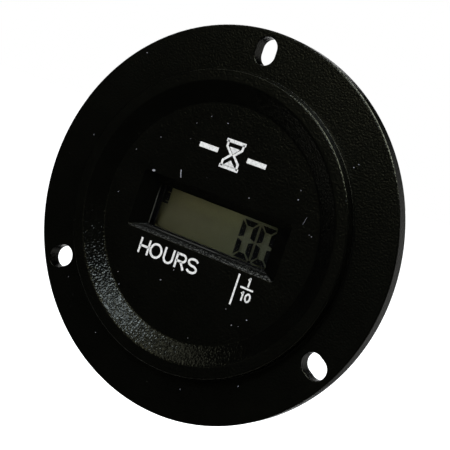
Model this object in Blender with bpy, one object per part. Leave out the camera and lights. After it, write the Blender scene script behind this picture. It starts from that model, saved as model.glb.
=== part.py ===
"""Round three-hole hour meter with a liquid crystal display.

Metres, +Z up. The dial faces -Y, and the panel that the meter is bolted to has its front
face in the plane y = 0. The meter's axis is the Y axis.
"""

import math

import bmesh
import bpy
from mathutils import Matrix, Vector

# Dial, ring and flange, from the middle outwards
DIAL_RADIUS = 0.0221
DIAL_PROUD = 0.00024
DIAL_WALL = 0.0025
CONE_WIDTH = 0.0035
RING_WIDTH = 0.0023
RING_HEIGHT = 0.00227
RING_DRAFT = 0.00014
RING_TO_SLOT = 0.00189
BOLT_SLOT_LENGTH = 0.0052
BOLT_SLOT_WIDTH = 0.0041
BOLT_SLOT_COUNT = 3
SLOT_TO_EDGE = 0.00117
FLANGE_THICKNESS = 0.0030
FRONT_EDGE_ROUND = 0.0005
REAR_EDGE_ROUND = 0.0002
RING_EDGE_ROUND = 0.00025
RING_FOOT_ROUND = 0.0003
DIAL_EDGE_ROUND = 0.0006

# Cup behind the flange
CUP_RADIUS = 0.0255
CUP_WALL = 0.0020
CUP_DEPTH = 0.0200
CUP_EDGE_ROUND = 0.0003

# Window recess in the dial
WINDOW_WIDTH = 0.0255
WINDOW_HEIGHT = 0.0080
WINDOW_DROP = 0.0003
WINDOW_LAND = 0.0004
WINDOW_CORNER = 0.0003
SLOPE_DEPTH = 0.00174
SLOPE_SIDE = 0.0031
SLOPE_TOP = 0.0014
SLOPE_BOTTOM = 0.0009
RECESS_CORNER = 0.0006
RECESS_LIP = 0.0002

# Clearances
SEAT_GAP = 0.0003
FILM_GAP = 0.0001
WALL_GAP = 0.0005

# Window lens and display
LENS_BORDER = 0.0018
LENS_THICKNESS = 0.0010
LENS_CORNER = 0.0008
LENS_BEVEL = 0.00015
FILM_BORDER = 0.0013
FILM_THICKNESS = 0.0002
GLASS_BORDER = 0.0006
GLASS_THICKNESS = 0.0006
ZEBRA_THICKNESS = 0.0016
ZEBRA_END = 0.0010

# Display holder
HOLDER_FACE = 0.0006
HOLDER_MARGIN = 0.0002
HOLDER_WALL = 0.0013
HOLDER_DEPTH = 0.0057
HOLDER_CORNER = 0.0012

# Circuit board and its screws
BOARD_THICKNESS = 0.0016
BOARD_MARGIN = 0.0012
BOSS_RADIUS = 0.0021
BOSS_INSET = 0.00235
BOSS_ROOT = 0.0005
SCREW_SHANK_RADIUS = 0.0009
SCREW_LENGTH = 0.0072
SCREW_POINT = 0.0010
SCREW_HEAD_RADIUS = 0.0019
SCREW_HEAD_HEIGHT = 0.0013
SCREW_HEAD_ROUND = 0.0006
CROSS_SLOT_WIDTH = 0.0005
CROSS_SLOT_LENGTH = 0.0021
CROSS_SLOT_DEPTH = 0.0008

# Pieces on the back of the board, sized for a board with this radius free for them
FREE_RADIUS = 0.0218
PART_SPACING = 0.0015
LEAD_RADIUS = 0.0003
CELL_ABOVE_AXIS = 0.0018
CELL_THICKNESS = 0.0032
CELL_CAP_MARGIN = 0.0012
CELL_CAP_STEP = 0.0003
CELL_EDGE_ROUND = 0.0005
TAB_WIDTH = 0.0045
TAB_THICKNESS = 0.0002
TAB_JOGGLE = 0.0004
TAB_FOOT = 0.0015
TAB_DROP = 0.0020
CRYSTAL_RADIUS = 0.0010
CRYSTAL_LENGTH = 0.0060
CRYSTAL_LEAD_RADIUS = 0.00016
CRYSTAL_LEAD_PITCH = 0.0009
CRYSTAL_LEAD_REACH = 0.0005
CRYSTAL_DROP = 0.0078
BRIDGE_LENGTH = 0.0065
BRIDGE_WIDTH = 0.0080
BRIDGE_HEIGHT = 0.0032
BRIDGE_PITCH = 0.0038
OPTO_LENGTH = 0.0046
OPTO_WIDTH = 0.0056
OPTO_HEIGHT = 0.0034
OPTO_PITCH = 0.00254
DIP_LEG_WIDTH = 0.0006
CHIP_LENGTH = 0.0060
CHIP_WIDTH = 0.0050
CHIP_HEIGHT = 0.0015
CHIP_LEGS = 6
CHIP_PITCH = 0.00085
CHIP_LEG_WIDTH = 0.0004
CHIP_BEVEL = 0.00025
LEG_THICKNESS = 0.0002
LEG_REACH = 0.0008
VARISTOR_RADIUS = 0.0032
VARISTOR_THICKNESS = 0.0035
VARISTOR_ROUND = 0.0012
VARISTOR_STAND = 0.0012
VARISTOR_LEAD_PITCH = 0.0038
VARISTOR_LEAD_STAGGER = 0.0012
CAPACITOR_RADIUS = 0.0025
CAPACITOR_LENGTH = 0.0110
CAPACITOR_CRIMP = 0.0003
CAPACITOR_CRIMP_TO_END = 0.0009
CAPACITOR_LEAD_PITCH = 0.0020
CAPACITOR_LEAD_REACH = 0.0006
RESISTOR_RADIUS = 0.0012
RESISTOR_BULGE = 0.00025
RESISTOR_LENGTH = 0.0070
RESISTOR_CAP_LENGTH = 0.0014
RESISTOR_LEAD = 0.0015
RESISTOR_RISE = 0.0005
RESISTOR_SPACING = 0.0030

# Rear cover and blade terminals
COVER_THICKNESS = 0.0020
COVER_EDGE_ROUND = 0.0006
SPIGOT_WALL = 0.0015
SPIGOT_DEPTH = 0.0022
TERMINAL_SPACING = 0.0190
TERMINAL_DROP = 0.0030
BLADE_WIDTH = 0.0063
BLADE_THICKNESS = 0.0008
BLADE_LENGTH = 0.0080
BLADE_TAPER_LENGTH = 0.0013
BLADE_TAPER_WIDTH = 0.0009
BLADE_HOLE_RADIUS = 0.0009
BLADE_HOLE_TO_TIP = 0.0034
SHOULDER_WIDTH = 0.0083
SHOULDER_HEIGHT = 0.0011
LEG_WIDTH = 0.0018
LEG_THROUGH = 0.0005
COLLAR_BORDER = 0.0014
COLLAR_HEIGHT = 0.0009
COLLAR_CORNER = 0.0012

# Fineness of the round shapes
BODY_SEGMENTS = 96
HOLE_SEGMENTS = 32
SMALL_SEGMENTS = 16
LEAD_SIDES = 6
CORNER_STEPS = 3
CORNER_SHARE = 0.45
OVERSHOOT = 0.0010
MERGE_DISTANCE = 0.000001
SHARP_ANGLE = math.radians(32)

# Radii worked out from the sizes above
CONE_OUTER = DIAL_RADIUS + CONE_WIDTH
RING_OUTER = CONE_OUTER + RING_WIDTH
RING_FOOT = RING_OUTER + RING_DRAFT
BOLT_CIRCLE_RADIUS = RING_FOOT + RING_TO_SLOT + BOLT_SLOT_LENGTH / 2
FLANGE_RADIUS = BOLT_CIRCLE_RADIUS + BOLT_SLOT_LENGTH / 2 + SLOT_TO_EDGE
CUP_INNER = CUP_RADIUS - CUP_WALL
BOARD_RADIUS = CUP_INNER - WALL_GAP
PILOT_RADIUS = SCREW_SHANK_RADIUS + SEAT_GAP

# Planes along the axis, front to back
FLANGE_FRONT = -FLANGE_THICKNESS
DIAL_FRONT = FLANGE_FRONT - DIAL_PROUD
RING_FRONT = FLANGE_FRONT - RING_HEIGHT
DIAL_BACK = DIAL_FRONT + DIAL_WALL
SLOPE_END = DIAL_FRONT + SLOPE_DEPTH
LENS_FRONT = SLOPE_END + WINDOW_LAND + SEAT_GAP
LENS_BACK = LENS_FRONT + LENS_THICKNESS
HOLDER_FRONT = LENS_BACK + SEAT_GAP
FILM_FRONT = HOLDER_FRONT + HOLDER_FACE + FILM_GAP
FRONT_GLASS_FRONT = FILM_FRONT + FILM_THICKNESS + FILM_GAP
FRONT_GLASS_BACK = FRONT_GLASS_FRONT + GLASS_THICKNESS
REAR_GLASS_FRONT = FRONT_GLASS_BACK + FILM_GAP
REFLECTOR_FRONT = REAR_GLASS_FRONT + GLASS_THICKNESS + FILM_GAP
HOLDER_BACK = HOLDER_FRONT + HOLDER_DEPTH
BOARD_FRONT = HOLDER_BACK + SEAT_GAP
BOARD_BACK = BOARD_FRONT + BOARD_THICKNESS
BOARD_TOP = BOARD_BACK + SEAT_GAP
COVER_FRONT = CUP_DEPTH + SEAT_GAP
COVER_BACK = COVER_FRONT + COVER_THICKNESS
SHOULDER_BACK = COVER_FRONT - SEAT_GAP
BLADE_TIP = COVER_BACK + BLADE_LENGTH

# Heights and widths of the display stack
DISPLAY_Z = -WINDOW_DROP
LENS_SIZE = (WINDOW_WIDTH + 2 * LENS_BORDER, WINDOW_HEIGHT + 2 * LENS_BORDER)
FILM_SIZE = (WINDOW_WIDTH + 2 * FILM_BORDER, WINDOW_HEIGHT + 2 * FILM_BORDER)
REAR_GLASS_SIZE = (FILM_SIZE[0] + 2 * GLASS_BORDER, FILM_SIZE[1] + 2 * GLASS_BORDER)
LEDGE = ZEBRA_THICKNESS + 2 * SEAT_GAP
FRONT_GLASS_SIZE = (REAR_GLASS_SIZE[0], REAR_GLASS_SIZE[1] + 2 * LEDGE)
POCKET_SIZE = (FRONT_GLASS_SIZE[0] + 2 * SEAT_GAP, FRONT_GLASS_SIZE[1] + 2 * SEAT_GAP)
HOLDER_SIZE = (POCKET_SIZE[0] + 2 * HOLDER_WALL, POCKET_SIZE[1] + 2 * HOLDER_WALL)
ZEBRA_Z = REAR_GLASS_SIZE[1] / 2 + SEAT_GAP + ZEBRA_THICKNESS / 2

# Places on the board
BOSS_Z = HOLDER_SIZE[1] / 2 + WINDOW_DROP + WALL_GAP + BOSS_RADIUS
BOSS_X = math.sqrt((BOARD_RADIUS - BOSS_INSET) ** 2 - BOSS_Z ** 2)
PLACING_RADIUS = BOARD_RADIUS - BOARD_MARGIN
BOARD_FIT = PLACING_RADIUS / FREE_RADIUS
CELL_RADIUS = (PLACING_RADIUS - CELL_ABOVE_AXIS) / 2
CELL_Z = PLACING_RADIUS - CELL_RADIUS
TAB_Z = CELL_Z - TAB_DROP * BOARD_FIT
TAB_REACH = CELL_RADIUS + TAB_FOOT * BOARD_FIT
CRYSTAL_X = TAB_REACH + (PART_SPACING + CRYSTAL_RADIUS) * BOARD_FIT
CRYSTAL_Z = CELL_Z - CRYSTAL_DROP * BOARD_FIT
BRIDGE_Z = CELL_ABOVE_AXIS - (PART_SPACING + BRIDGE_LENGTH / 2) * BOARD_FIT
TERMINAL_X = TERMINAL_SPACING / 2
TERMINAL_Z = -TERMINAL_DROP
RESISTOR_X = TERMINAL_X + BLADE_THICKNESS / 2 + (RESISTOR_SPACING + RESISTOR_RADIUS) * BOARD_FIT
RESISTOR_Z = TERMINAL_Z + RESISTOR_RISE
CAPACITOR_EDGE = math.sqrt(PLACING_RADIUS ** 2 - (CAPACITOR_LENGTH / 2 * BOARD_FIT) ** 2)
CAPACITOR_Z = CAPACITOR_RADIUS * BOARD_FIT - CAPACITOR_EDGE
CAPACITOR_TOP = CAPACITOR_Z + CAPACITOR_RADIUS * BOARD_FIT
BRIDGE_BOTTOM = BRIDGE_Z - BRIDGE_LENGTH / 2 * BOARD_FIT
VARISTOR_Z = (BRIDGE_BOTTOM + CAPACITOR_TOP) / 2
CHIP_X = (VARISTOR_RADIUS * BOARD_FIT + BOSS_X - SCREW_HEAD_RADIUS) / 2
CHIP_Z = CAPACITOR_TOP + (PART_SPACING + CHIP_LENGTH / 2) * BOARD_FIT


def clear_scene():
    """Remove every object that the file opened with."""
    for obj in list(bpy.data.objects):
        bpy.data.objects.remove(obj, do_unlink=True)


def finish_material(name, colour, roughness, metallic=0.0, alpha=1.0):
    """Return a Principled material with one colour."""
    material = bpy.data.materials.new(name)
    material.use_nodes = True
    shader = material.node_tree.nodes["Principled BSDF"]
    shader.inputs["Base Color"].default_value = (*colour, 1.0)
    shader.inputs["Roughness"].default_value = roughness
    shader.inputs["Metallic"].default_value = metallic
    shader.inputs["Alpha"].default_value = alpha
    return material


def add_object(name, bm, material=None):
    """Turn a bmesh into an object in the scene, smooth where it is round."""
    bmesh.ops.recalc_face_normals(bm, faces=bm.faces)
    mesh = bpy.data.meshes.new(name)
    bm.to_mesh(mesh)
    bm.free()
    mesh.shade_smooth()
    mesh.set_sharp_from_angle(angle=SHARP_ANGLE)
    if material:
        mesh.materials.append(material)
    obj = bpy.data.objects.new(name, mesh)
    bpy.context.scene.collection.objects.link(obj)
    return obj


def boolean(obj, operand, operation):
    """Join or cut an object with a helper that isn't a piece itself."""
    operand.hide_render = True
    operand.display_type = "WIRE"
    modifier = obj.modifiers.new(operand.name, "BOOLEAN")
    modifier.object = operand
    modifier.operation = operation
    modifier.solver = "EXACT"


def cut(obj, operand):
    """Take the operand out of the object."""
    boolean(obj, operand, "DIFFERENCE")


def join(obj, operand):
    """Add the operand to the object as one solid."""
    boolean(obj, operand, "UNION")


def rounded(corners):
    """Turn (x, y, radius, steps) corners into points, each corner an arc that fits its sides."""
    points = []
    for index, (x, y, radius, steps) in enumerate(corners):
        corner = Vector((x, y))
        if radius == 0:
            points.append(corner)
            continue
        before = Vector(corners[index - 1][:2]) - corner
        after = Vector(corners[(index + 1) % len(corners)][:2]) - corner
        half_angle = before.angle(after) / 2
        longest = CORNER_SHARE * min(before.length, after.length)
        setback = min(radius / math.tan(half_angle), longest)
        start = corner + before.normalized() * setback
        end = corner + after.normalized() * setback
        middle = (before.normalized() + after.normalized()).normalized()
        centre = corner + middle * (setback / math.cos(half_angle))
        for step in range(steps + 1):
            blend = start.lerp(end, step / steps) - centre
            points.append(centre + blend.normalized() * (start - centre).length)
    return points


def rectangle(width, height, y, z=DISPLAY_Z, corner=0.0, x=0.0):
    """Return a closed ring of points, a rectangle with round corners in a plane y."""
    signs = [(1, 1), (-1, 1), (-1, -1), (1, -1)]
    corners = [(x + u * width / 2, z + v * height / 2, corner, CORNER_STEPS) for u, v in signs]
    return [Vector((u, y, v)) for u, v in rounded(corners)]


def loft(bm, rings):
    """Skin a row of point rings and close both ends."""
    loops = []
    for ring in rings:
        verts = [bm.verts.new(point) for point in ring]
        edges = [bm.edges.new(pair) for pair in zip(verts, verts[1:] + verts[:1])]
        loops.append((verts, edges))
    for lower, upper in zip(loops, loops[1:]):
        bmesh.ops.bridge_loops(bm, edges=lower[1] + upper[1])
    bm.faces.new(loops[0][0])
    bm.faces.new(loops[-1][0])


def plate(bm, size, front, thickness, z=DISPLAY_Z, corner=0.0, bevel=0.0, x=0.0):
    """Add a rectangular plate that faces -Y, with its edges bevelled if asked."""
    back = front + thickness
    stations = [(front, bevel), (front + bevel, 0.0), (back - bevel, 0.0), (back, bevel)]
    if bevel == 0:
        stations = [(front, 0.0), (back, 0.0)]
    rings = []
    for y, inset in stations:
        rings.append(rectangle(size[0] - 2 * inset, size[1] - 2 * inset, y, z, corner, x))
    loft(bm, rings)


def turned(bm, profile, segments, x=0.0, z=0.0):
    """Spin a (radius, y) profile that starts and ends on the axis about a line along Y."""
    verts = [bm.verts.new((x + radius, y, z)) for radius, y in profile]
    edges = [bm.edges.new(pair) for pair in zip(verts, verts[1:])]
    bmesh.ops.spin(bm, geom=verts + edges, cent=(x, 0, z), axis=(0, 1, 0),
                   angle=2 * math.pi, steps=segments, use_merge=True, use_duplicate=False)
    bmesh.ops.remove_doubles(bm, verts=bm.verts, dist=MERGE_DISTANCE)


def cylinder(bm, radius, front, back, x=0.0, z=0.0, segments=HOLE_SEGMENTS):
    """Add a plain cylinder along Y."""
    rings = []
    for y in (front, back):
        ring = []
        for index in range(segments):
            angle = 2 * math.pi * (index + 0.5) / segments
            ring.append(Vector((x + radius * math.cos(angle), y, z + radius * math.sin(angle))))
        rings.append(ring)
    loft(bm, rings)


def round_section(radius, sides=LEAD_SIDES):
    """Return the section of a wire."""
    angles = [2 * math.pi * (side + 0.5) / sides for side in range(sides)]
    return [(radius * math.cos(angle), radius * math.sin(angle)) for angle in angles]


def flat_section(thickness, width):
    """Return the section of a strip: thickness in the plane of its bends, width across it."""
    half_t, half_w = thickness / 2, width / 2
    return [(half_t, half_w), (-half_t, half_w), (-half_t, -half_w), (half_t, -half_w)]


def sweep(bm, path, across, section):
    """Sweep a section along a path that bends in one plane, with mitred corners."""
    path = [Vector(point) for point in path]
    across = Vector(across).normalized()
    rings = []
    for index, point in enumerate(path):
        ahead = path[min(index + 1, len(path) - 1)] - point
        behind = point - path[max(index - 1, 0)]
        ahead = (ahead if ahead.length else behind).normalized()
        behind = (behind if behind.length else ahead).normalized()
        along = (ahead + behind).normalized()
        side = along.cross(across) / along.dot(ahead)
        rings.append([point + side * u + across * v for u, v in section])
    loft(bm, rings)


def lay_along(bm, axis, place):
    """Turn a shape that was made along Y to lie along X or Z, then move it to its place."""
    turn = {"X": Matrix.Rotation(-math.pi / 2, 3, "Z"), "Z": Matrix.Rotation(math.pi / 2, 3, "X")}
    bmesh.ops.rotate(bm, verts=bm.verts, cent=(0, 0, 0), matrix=turn[axis])
    bmesh.ops.translate(bm, verts=bm.verts, vec=place)


def seat(bm, x, z):
    """Fit a piece that was drawn on the plane y = 0 to the room on the board, and set it down."""
    bmesh.ops.scale(bm, verts=bm.verts, vec=(BOARD_FIT, BOARD_FIT, BOARD_FIT))
    bmesh.ops.translate(bm, verts=bm.verts, vec=(x, BOARD_TOP, z))


def boss_places():
    """Return the (x, z) places of the four board screws, right ones first."""
    return [(BOSS_X, BOSS_Z), (BOSS_X, -BOSS_Z), (-BOSS_X, BOSS_Z), (-BOSS_X, -BOSS_Z)]


def housing(material):
    """One moulding: flange, ring, bevel, dial, window recess, rear cup and board bosses."""
    profile = rounded([
        (0.0, DIAL_FRONT, 0.0, 0),
        (DIAL_RADIUS, DIAL_FRONT, DIAL_EDGE_ROUND, 3),
        (CONE_OUTER, RING_FRONT, RING_EDGE_ROUND, 2),
        (RING_OUTER, RING_FRONT, RING_EDGE_ROUND, 2),
        (RING_FOOT, FLANGE_FRONT, RING_FOOT_ROUND, 2),
        (FLANGE_RADIUS, FLANGE_FRONT, FRONT_EDGE_ROUND, 3),
        (FLANGE_RADIUS, 0.0, REAR_EDGE_ROUND, 1),
        (CUP_RADIUS, 0.0, CUP_EDGE_ROUND, 1),
        (CUP_RADIUS, CUP_DEPTH, CUP_EDGE_ROUND, 1),
        (CUP_INNER, CUP_DEPTH, CUP_EDGE_ROUND, 1),
        (CUP_INNER, DIAL_BACK, CUP_EDGE_ROUND, 1),
        (0.0, DIAL_BACK, 0.0, 0),
    ])
    bm = bmesh.new()
    turned(bm, profile, BODY_SEGMENTS)
    body = add_object("housing", bm, material)
    join(body, board_bosses())
    cut(body, bolt_slots())
    cut(body, window_recess())
    cut(body, lens_pocket())


def bolt_slots():
    """Short slots for the panel bolts, their length pointing out from the axis, the first at the top."""
    bm = bmesh.new()
    end_radius = BOLT_SLOT_WIDTH / 2
    spread = (BOLT_SLOT_LENGTH - BOLT_SLOT_WIDTH) / 2
    for index in range(BOLT_SLOT_COUNT):
        outward = math.pi / 2 + 2 * math.pi * index / BOLT_SLOT_COUNT
        rings = []
        for y in (FLANGE_FRONT - OVERSHOOT, OVERSHOOT):
            ring = []
            for step in range(HOLE_SEGMENTS):
                angle = 2 * math.pi * (step + 0.5) / HOLE_SEGMENTS
                along = end_radius * math.cos(angle) + math.copysign(spread, math.cos(angle))
                aside = end_radius * math.sin(angle)
                point = Vector((BOLT_CIRCLE_RADIUS + along, aside))
                point.rotate(Matrix.Rotation(outward, 2))
                ring.append(Vector((point.x, y, point.y)))
            rings.append(ring)
        loft(bm, rings)
    return add_object("bolt_slot_cutter", bm)


def window_recess():
    """Recess with four sloped sides, a soft lip in front and a straight land at the window."""
    width = WINDOW_WIDTH + 2 * SLOPE_SIDE
    height = WINDOW_HEIGHT + SLOPE_TOP + SLOPE_BOTTOM
    middle = DISPLAY_Z + (SLOPE_TOP - SLOPE_BOTTOM) / 2
    lip = 2 * RECESS_LIP
    window = (WINDOW_WIDTH, WINDOW_HEIGHT)
    bm = bmesh.new()
    loft(bm, [
        rectangle(width + lip, height + lip, DIAL_FRONT - OVERSHOOT, middle, RECESS_CORNER),
        rectangle(width + lip, height + lip, DIAL_FRONT, middle, RECESS_CORNER),
        rectangle(width, height, DIAL_FRONT + RECESS_LIP / 2, middle, RECESS_CORNER),
        rectangle(*window, SLOPE_END, DISPLAY_Z, WINDOW_CORNER),
        rectangle(*window, DIAL_BACK + OVERSHOOT, DISPLAY_Z, WINDOW_CORNER),
    ])
    return add_object("window_cutter", bm)


def lens_pocket():
    """Seat for the lens in the back of the dial."""
    size = (LENS_SIZE[0] + 2 * SEAT_GAP, LENS_SIZE[1] + 2 * SEAT_GAP)
    bm = bmesh.new()
    plate(bm, size, SLOPE_END + WINDOW_LAND, DIAL_WALL, corner=LENS_CORNER)
    return add_object("lens_pocket_cutter", bm)


def board_bosses():
    """Four posts behind the dial that carry the board, each with a blind hole for its screw."""
    root = DIAL_BACK - BOSS_ROOT
    hole_end = BOARD_TOP - SCREW_LENGTH - SEAT_GAP
    profile = [(0.0, root), (BOSS_RADIUS, root), (BOSS_RADIUS, HOLDER_BACK),
               (PILOT_RADIUS, HOLDER_BACK), (PILOT_RADIUS, hole_end), (0.0, hole_end)]
    bm = bmesh.new()
    for x, z in boss_places():
        turned(bm, profile, SMALL_SEGMENTS, x, z)
    return add_object("board_bosses", bm)


def window_lens(material):
    """Clear plate behind the window."""
    bm = bmesh.new()
    plate(bm, LENS_SIZE, LENS_FRONT, LENS_THICKNESS, corner=LENS_CORNER, bevel=LENS_BEVEL)
    add_object("window_lens", bm, material)


def display_layer(name, size, front, thickness, material):
    """One flat layer of the display."""
    bm = bmesh.new()
    plate(bm, size, front, thickness)
    add_object(name, bm, material)


def display_holder(material):
    """Frame that holds the display against the board, open at the front and the back."""
    opening = (WINDOW_WIDTH + 2 * HOLDER_MARGIN, WINDOW_HEIGHT + 2 * HOLDER_MARGIN)
    bm = bmesh.new()
    plate(bm, HOLDER_SIZE, HOLDER_FRONT, HOLDER_DEPTH, corner=HOLDER_CORNER)
    frame = add_object("lcd_holder", bm, material)
    bm = bmesh.new()
    plate(bm, opening, HOLDER_FRONT - OVERSHOOT, HOLDER_FACE + 2 * OVERSHOOT)
    cut(frame, add_object("holder_window_cutter", bm))
    bm = bmesh.new()
    plate(bm, POCKET_SIZE, HOLDER_FRONT + HOLDER_FACE, HOLDER_DEPTH)
    cut(frame, add_object("holder_pocket_cutter", bm))


def zebra_strip(name, side, material):
    """Rubber contact strip between a glass ledge and the board."""
    front = FRONT_GLASS_BACK + FILM_GAP
    size = (FRONT_GLASS_SIZE[0] - 2 * ZEBRA_END, ZEBRA_THICKNESS)
    bm = bmesh.new()
    plate(bm, size, front, BOARD_FRONT - FILM_GAP - front, z=DISPLAY_Z + side * ZEBRA_Z)
    add_object(name, bm, material)


def circuit_board(material):
    """Round board with holes for the four screws and the two terminal legs."""
    profile = [(0, BOARD_FRONT), (BOARD_RADIUS, BOARD_FRONT), (BOARD_RADIUS, BOARD_BACK),
               (0, BOARD_BACK)]
    bm = bmesh.new()
    turned(bm, profile, BODY_SEGMENTS // 2)
    board = add_object("circuit_board", bm, material)
    front, back = BOARD_FRONT - OVERSHOOT, BOARD_BACK + OVERSHOOT
    leg_hole = math.hypot(LEG_WIDTH, BLADE_THICKNESS) / 2 + SEAT_GAP
    bm = bmesh.new()
    for x, z in boss_places():
        cylinder(bm, PILOT_RADIUS, front, back, x, z, SMALL_SEGMENTS)
    for side in (-1, 1):
        cylinder(bm, leg_hole, front, back, side * TERMINAL_X, TERMINAL_Z, SMALL_SEGMENTS)
    cut(board, add_object("board_hole_cutter", bm))


def board_screw(name, x, z, material):
    """Pan head screw with a cross recess, through the board into a post."""
    point = BOARD_TOP - SCREW_LENGTH
    profile = rounded([
        (0.0, point, 0.0, 0),
        (SCREW_SHANK_RADIUS / 2, point, 0.0, 0),
        (SCREW_SHANK_RADIUS, point + SCREW_POINT, 0.0, 0),
        (SCREW_SHANK_RADIUS, BOARD_TOP, 0.0, 0),
        (SCREW_HEAD_RADIUS, BOARD_TOP, 0.0, 0),
        (SCREW_HEAD_RADIUS, BOARD_TOP + SCREW_HEAD_HEIGHT, SCREW_HEAD_ROUND, 2),
        (0.0, BOARD_TOP + SCREW_HEAD_HEIGHT, 0.0, 0),
    ])
    bm = bmesh.new()
    turned(bm, profile, SMALL_SEGMENTS, x, z)
    screw = add_object(name, bm, material)
    floor = BOARD_TOP + SCREW_HEAD_HEIGHT - CROSS_SLOT_DEPTH
    depth = CROSS_SLOT_DEPTH + OVERSHOOT
    for axis, size in (("x", (CROSS_SLOT_LENGTH, CROSS_SLOT_WIDTH)),
                       ("z", (CROSS_SLOT_WIDTH, CROSS_SLOT_LENGTH))):
        bm = bmesh.new()
        plate(bm, size, floor, depth, z=z, x=x)
        cut(screw, add_object(name + "_slot_" + axis, bm))


def lithium_cell(material):
    """Coin cell, its smaller cap towards the board."""
    front = BOARD_TOP + TAB_JOGGLE + TAB_THICKNESS + SEAT_GAP
    cap = CELL_RADIUS - CELL_CAP_MARGIN
    profile = rounded([
        (0.0, front, 0.0, 0),
        (cap, front, 0.0, 0),
        (cap, front + CELL_CAP_STEP, 0.0, 0),
        (CELL_RADIUS, front + CELL_CAP_STEP, CELL_CAP_STEP, 1),
        (CELL_RADIUS, front + CELL_THICKNESS, CELL_EDGE_ROUND, 2),
        (0.0, front + CELL_THICKNESS, 0.0, 0),
    ])
    bm = bmesh.new()
    turned(bm, profile, BODY_SEGMENTS // 2, 0.0, CELL_Z)
    add_object("lithium_cell", bm, material)


def cell_tabs(material):
    """Welded strips from the two faces of the cell to the board."""
    low = BOARD_TOP + TAB_THICKNESS / 2
    under = low + TAB_JOGGLE
    over = BOARD_TOP + TAB_JOGGLE + TAB_THICKNESS + CELL_THICKNESS + 2 * SEAT_GAP
    over += TAB_THICKNESS / 2
    bend = CELL_RADIUS + SEAT_GAP + TAB_THICKNESS / 2
    cap = CELL_RADIUS - CELL_CAP_MARGIN
    section = flat_section(TAB_THICKNESS, TAB_WIDTH * BOARD_FIT)
    bm = bmesh.new()
    sweep(bm, [(TAB_REACH, low, TAB_Z), (bend, low, TAB_Z), (cap, under, TAB_Z),
               (0, under, TAB_Z)], (0, 0, 1), section)
    add_object("cell_tab_negative", bm, material)
    bm = bmesh.new()
    sweep(bm, [(-TAB_REACH, low, TAB_Z), (-bend, low, TAB_Z), (-bend, over, TAB_Z),
               (0, over, TAB_Z)], (0, 0, 1), section)
    add_object("cell_tab_positive", bm, material)


def quartz_crystal(material):
    """Small can on its side, with two bent leads."""
    profile = rounded([
        (0.0, 0.0, 0.0, 0),
        (CRYSTAL_RADIUS, 0.0, CRYSTAL_LEAD_RADIUS, 1),
        (CRYSTAL_RADIUS, CRYSTAL_LENGTH, CRYSTAL_LEAD_RADIUS, 1),
        (0.0, CRYSTAL_LENGTH, 0.0, 0),
    ])
    bm = bmesh.new()
    turned(bm, profile, SMALL_SEGMENTS)
    lay_along(bm, "Z", (0, CRYSTAL_RADIUS, 0))
    seat(bm, CRYSTAL_X, CRYSTAL_Z)
    crystal = add_object("quartz_crystal", bm, material)
    bend = -CRYSTAL_LEAD_REACH
    bm = bmesh.new()
    for side in (-1, 1):
        x = side * CRYSTAL_LEAD_PITCH / 2
        sweep(bm, [(x, CRYSTAL_RADIUS, CRYSTAL_RADIUS), (x, CRYSTAL_RADIUS, bend),
                   (x, CRYSTAL_LEAD_RADIUS, bend)], (1, 0, 0), round_section(CRYSTAL_LEAD_RADIUS))
    seat(bm, CRYSTAL_X, CRYSTAL_Z)
    join(crystal, add_object("quartz_crystal_leads", bm))


def packaged_chip(name, size, place, legs, leg_width, foot, material):
    """Moulded chip with a row of bent legs on each side. size is width, length and height."""
    width, length, height = size
    count, pitch = legs
    middle = LEG_THICKNESS + height / 2
    low = LEG_THICKNESS / 2
    bm = bmesh.new()
    plate(bm, (width, length), LEG_THICKNESS, height, z=0.0, bevel=CHIP_BEVEL)
    seat(bm, *place)
    chip = add_object(name, bm, material)
    bm = bmesh.new()
    for side in (-1, 1):
        inside = side * (width - LEG_REACH) / 2
        outside = side * (width + LEG_REACH) / 2
        for index in range(count):
            z = (index - (count - 1) / 2) * pitch
            path = [(inside, middle, z), (outside, middle, z), (outside, low, z)]
            if foot:
                path.append((outside + side * LEG_REACH / 2, low, z))
            sweep(bm, path, (0, 0, 1), flat_section(LEG_THICKNESS, leg_width))
    seat(bm, *place)
    join(chip, add_object(name + "_legs", bm))


def varistor(material):
    """Round disc that stands on the board on two leads."""
    half = VARISTOR_THICKNESS / 2
    profile = rounded([
        (0.0, -half, 0.0, 0),
        (VARISTOR_RADIUS, -half, VARISTOR_ROUND, 3),
        (VARISTOR_RADIUS, half, VARISTOR_ROUND, 3),
        (0.0, half, 0.0, 0),
    ])
    height = VARISTOR_STAND + VARISTOR_RADIUS
    bm = bmesh.new()
    turned(bm, profile, HOLE_SEGMENTS)
    lay_along(bm, "Z", (0, height, 0))
    seat(bm, 0.0, VARISTOR_Z)
    disc = add_object("varistor", bm, material)
    bm = bmesh.new()
    for side in (-1, 1):
        x = side * VARISTOR_LEAD_PITCH / 2
        z = side * VARISTOR_LEAD_STAGGER / 2
        sweep(bm, [(x, height, z), (x, 0, z)], (0, 0, 1), round_section(LEAD_RADIUS))
    seat(bm, 0.0, VARISTOR_Z)
    join(disc, add_object("varistor_leads", bm))


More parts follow.
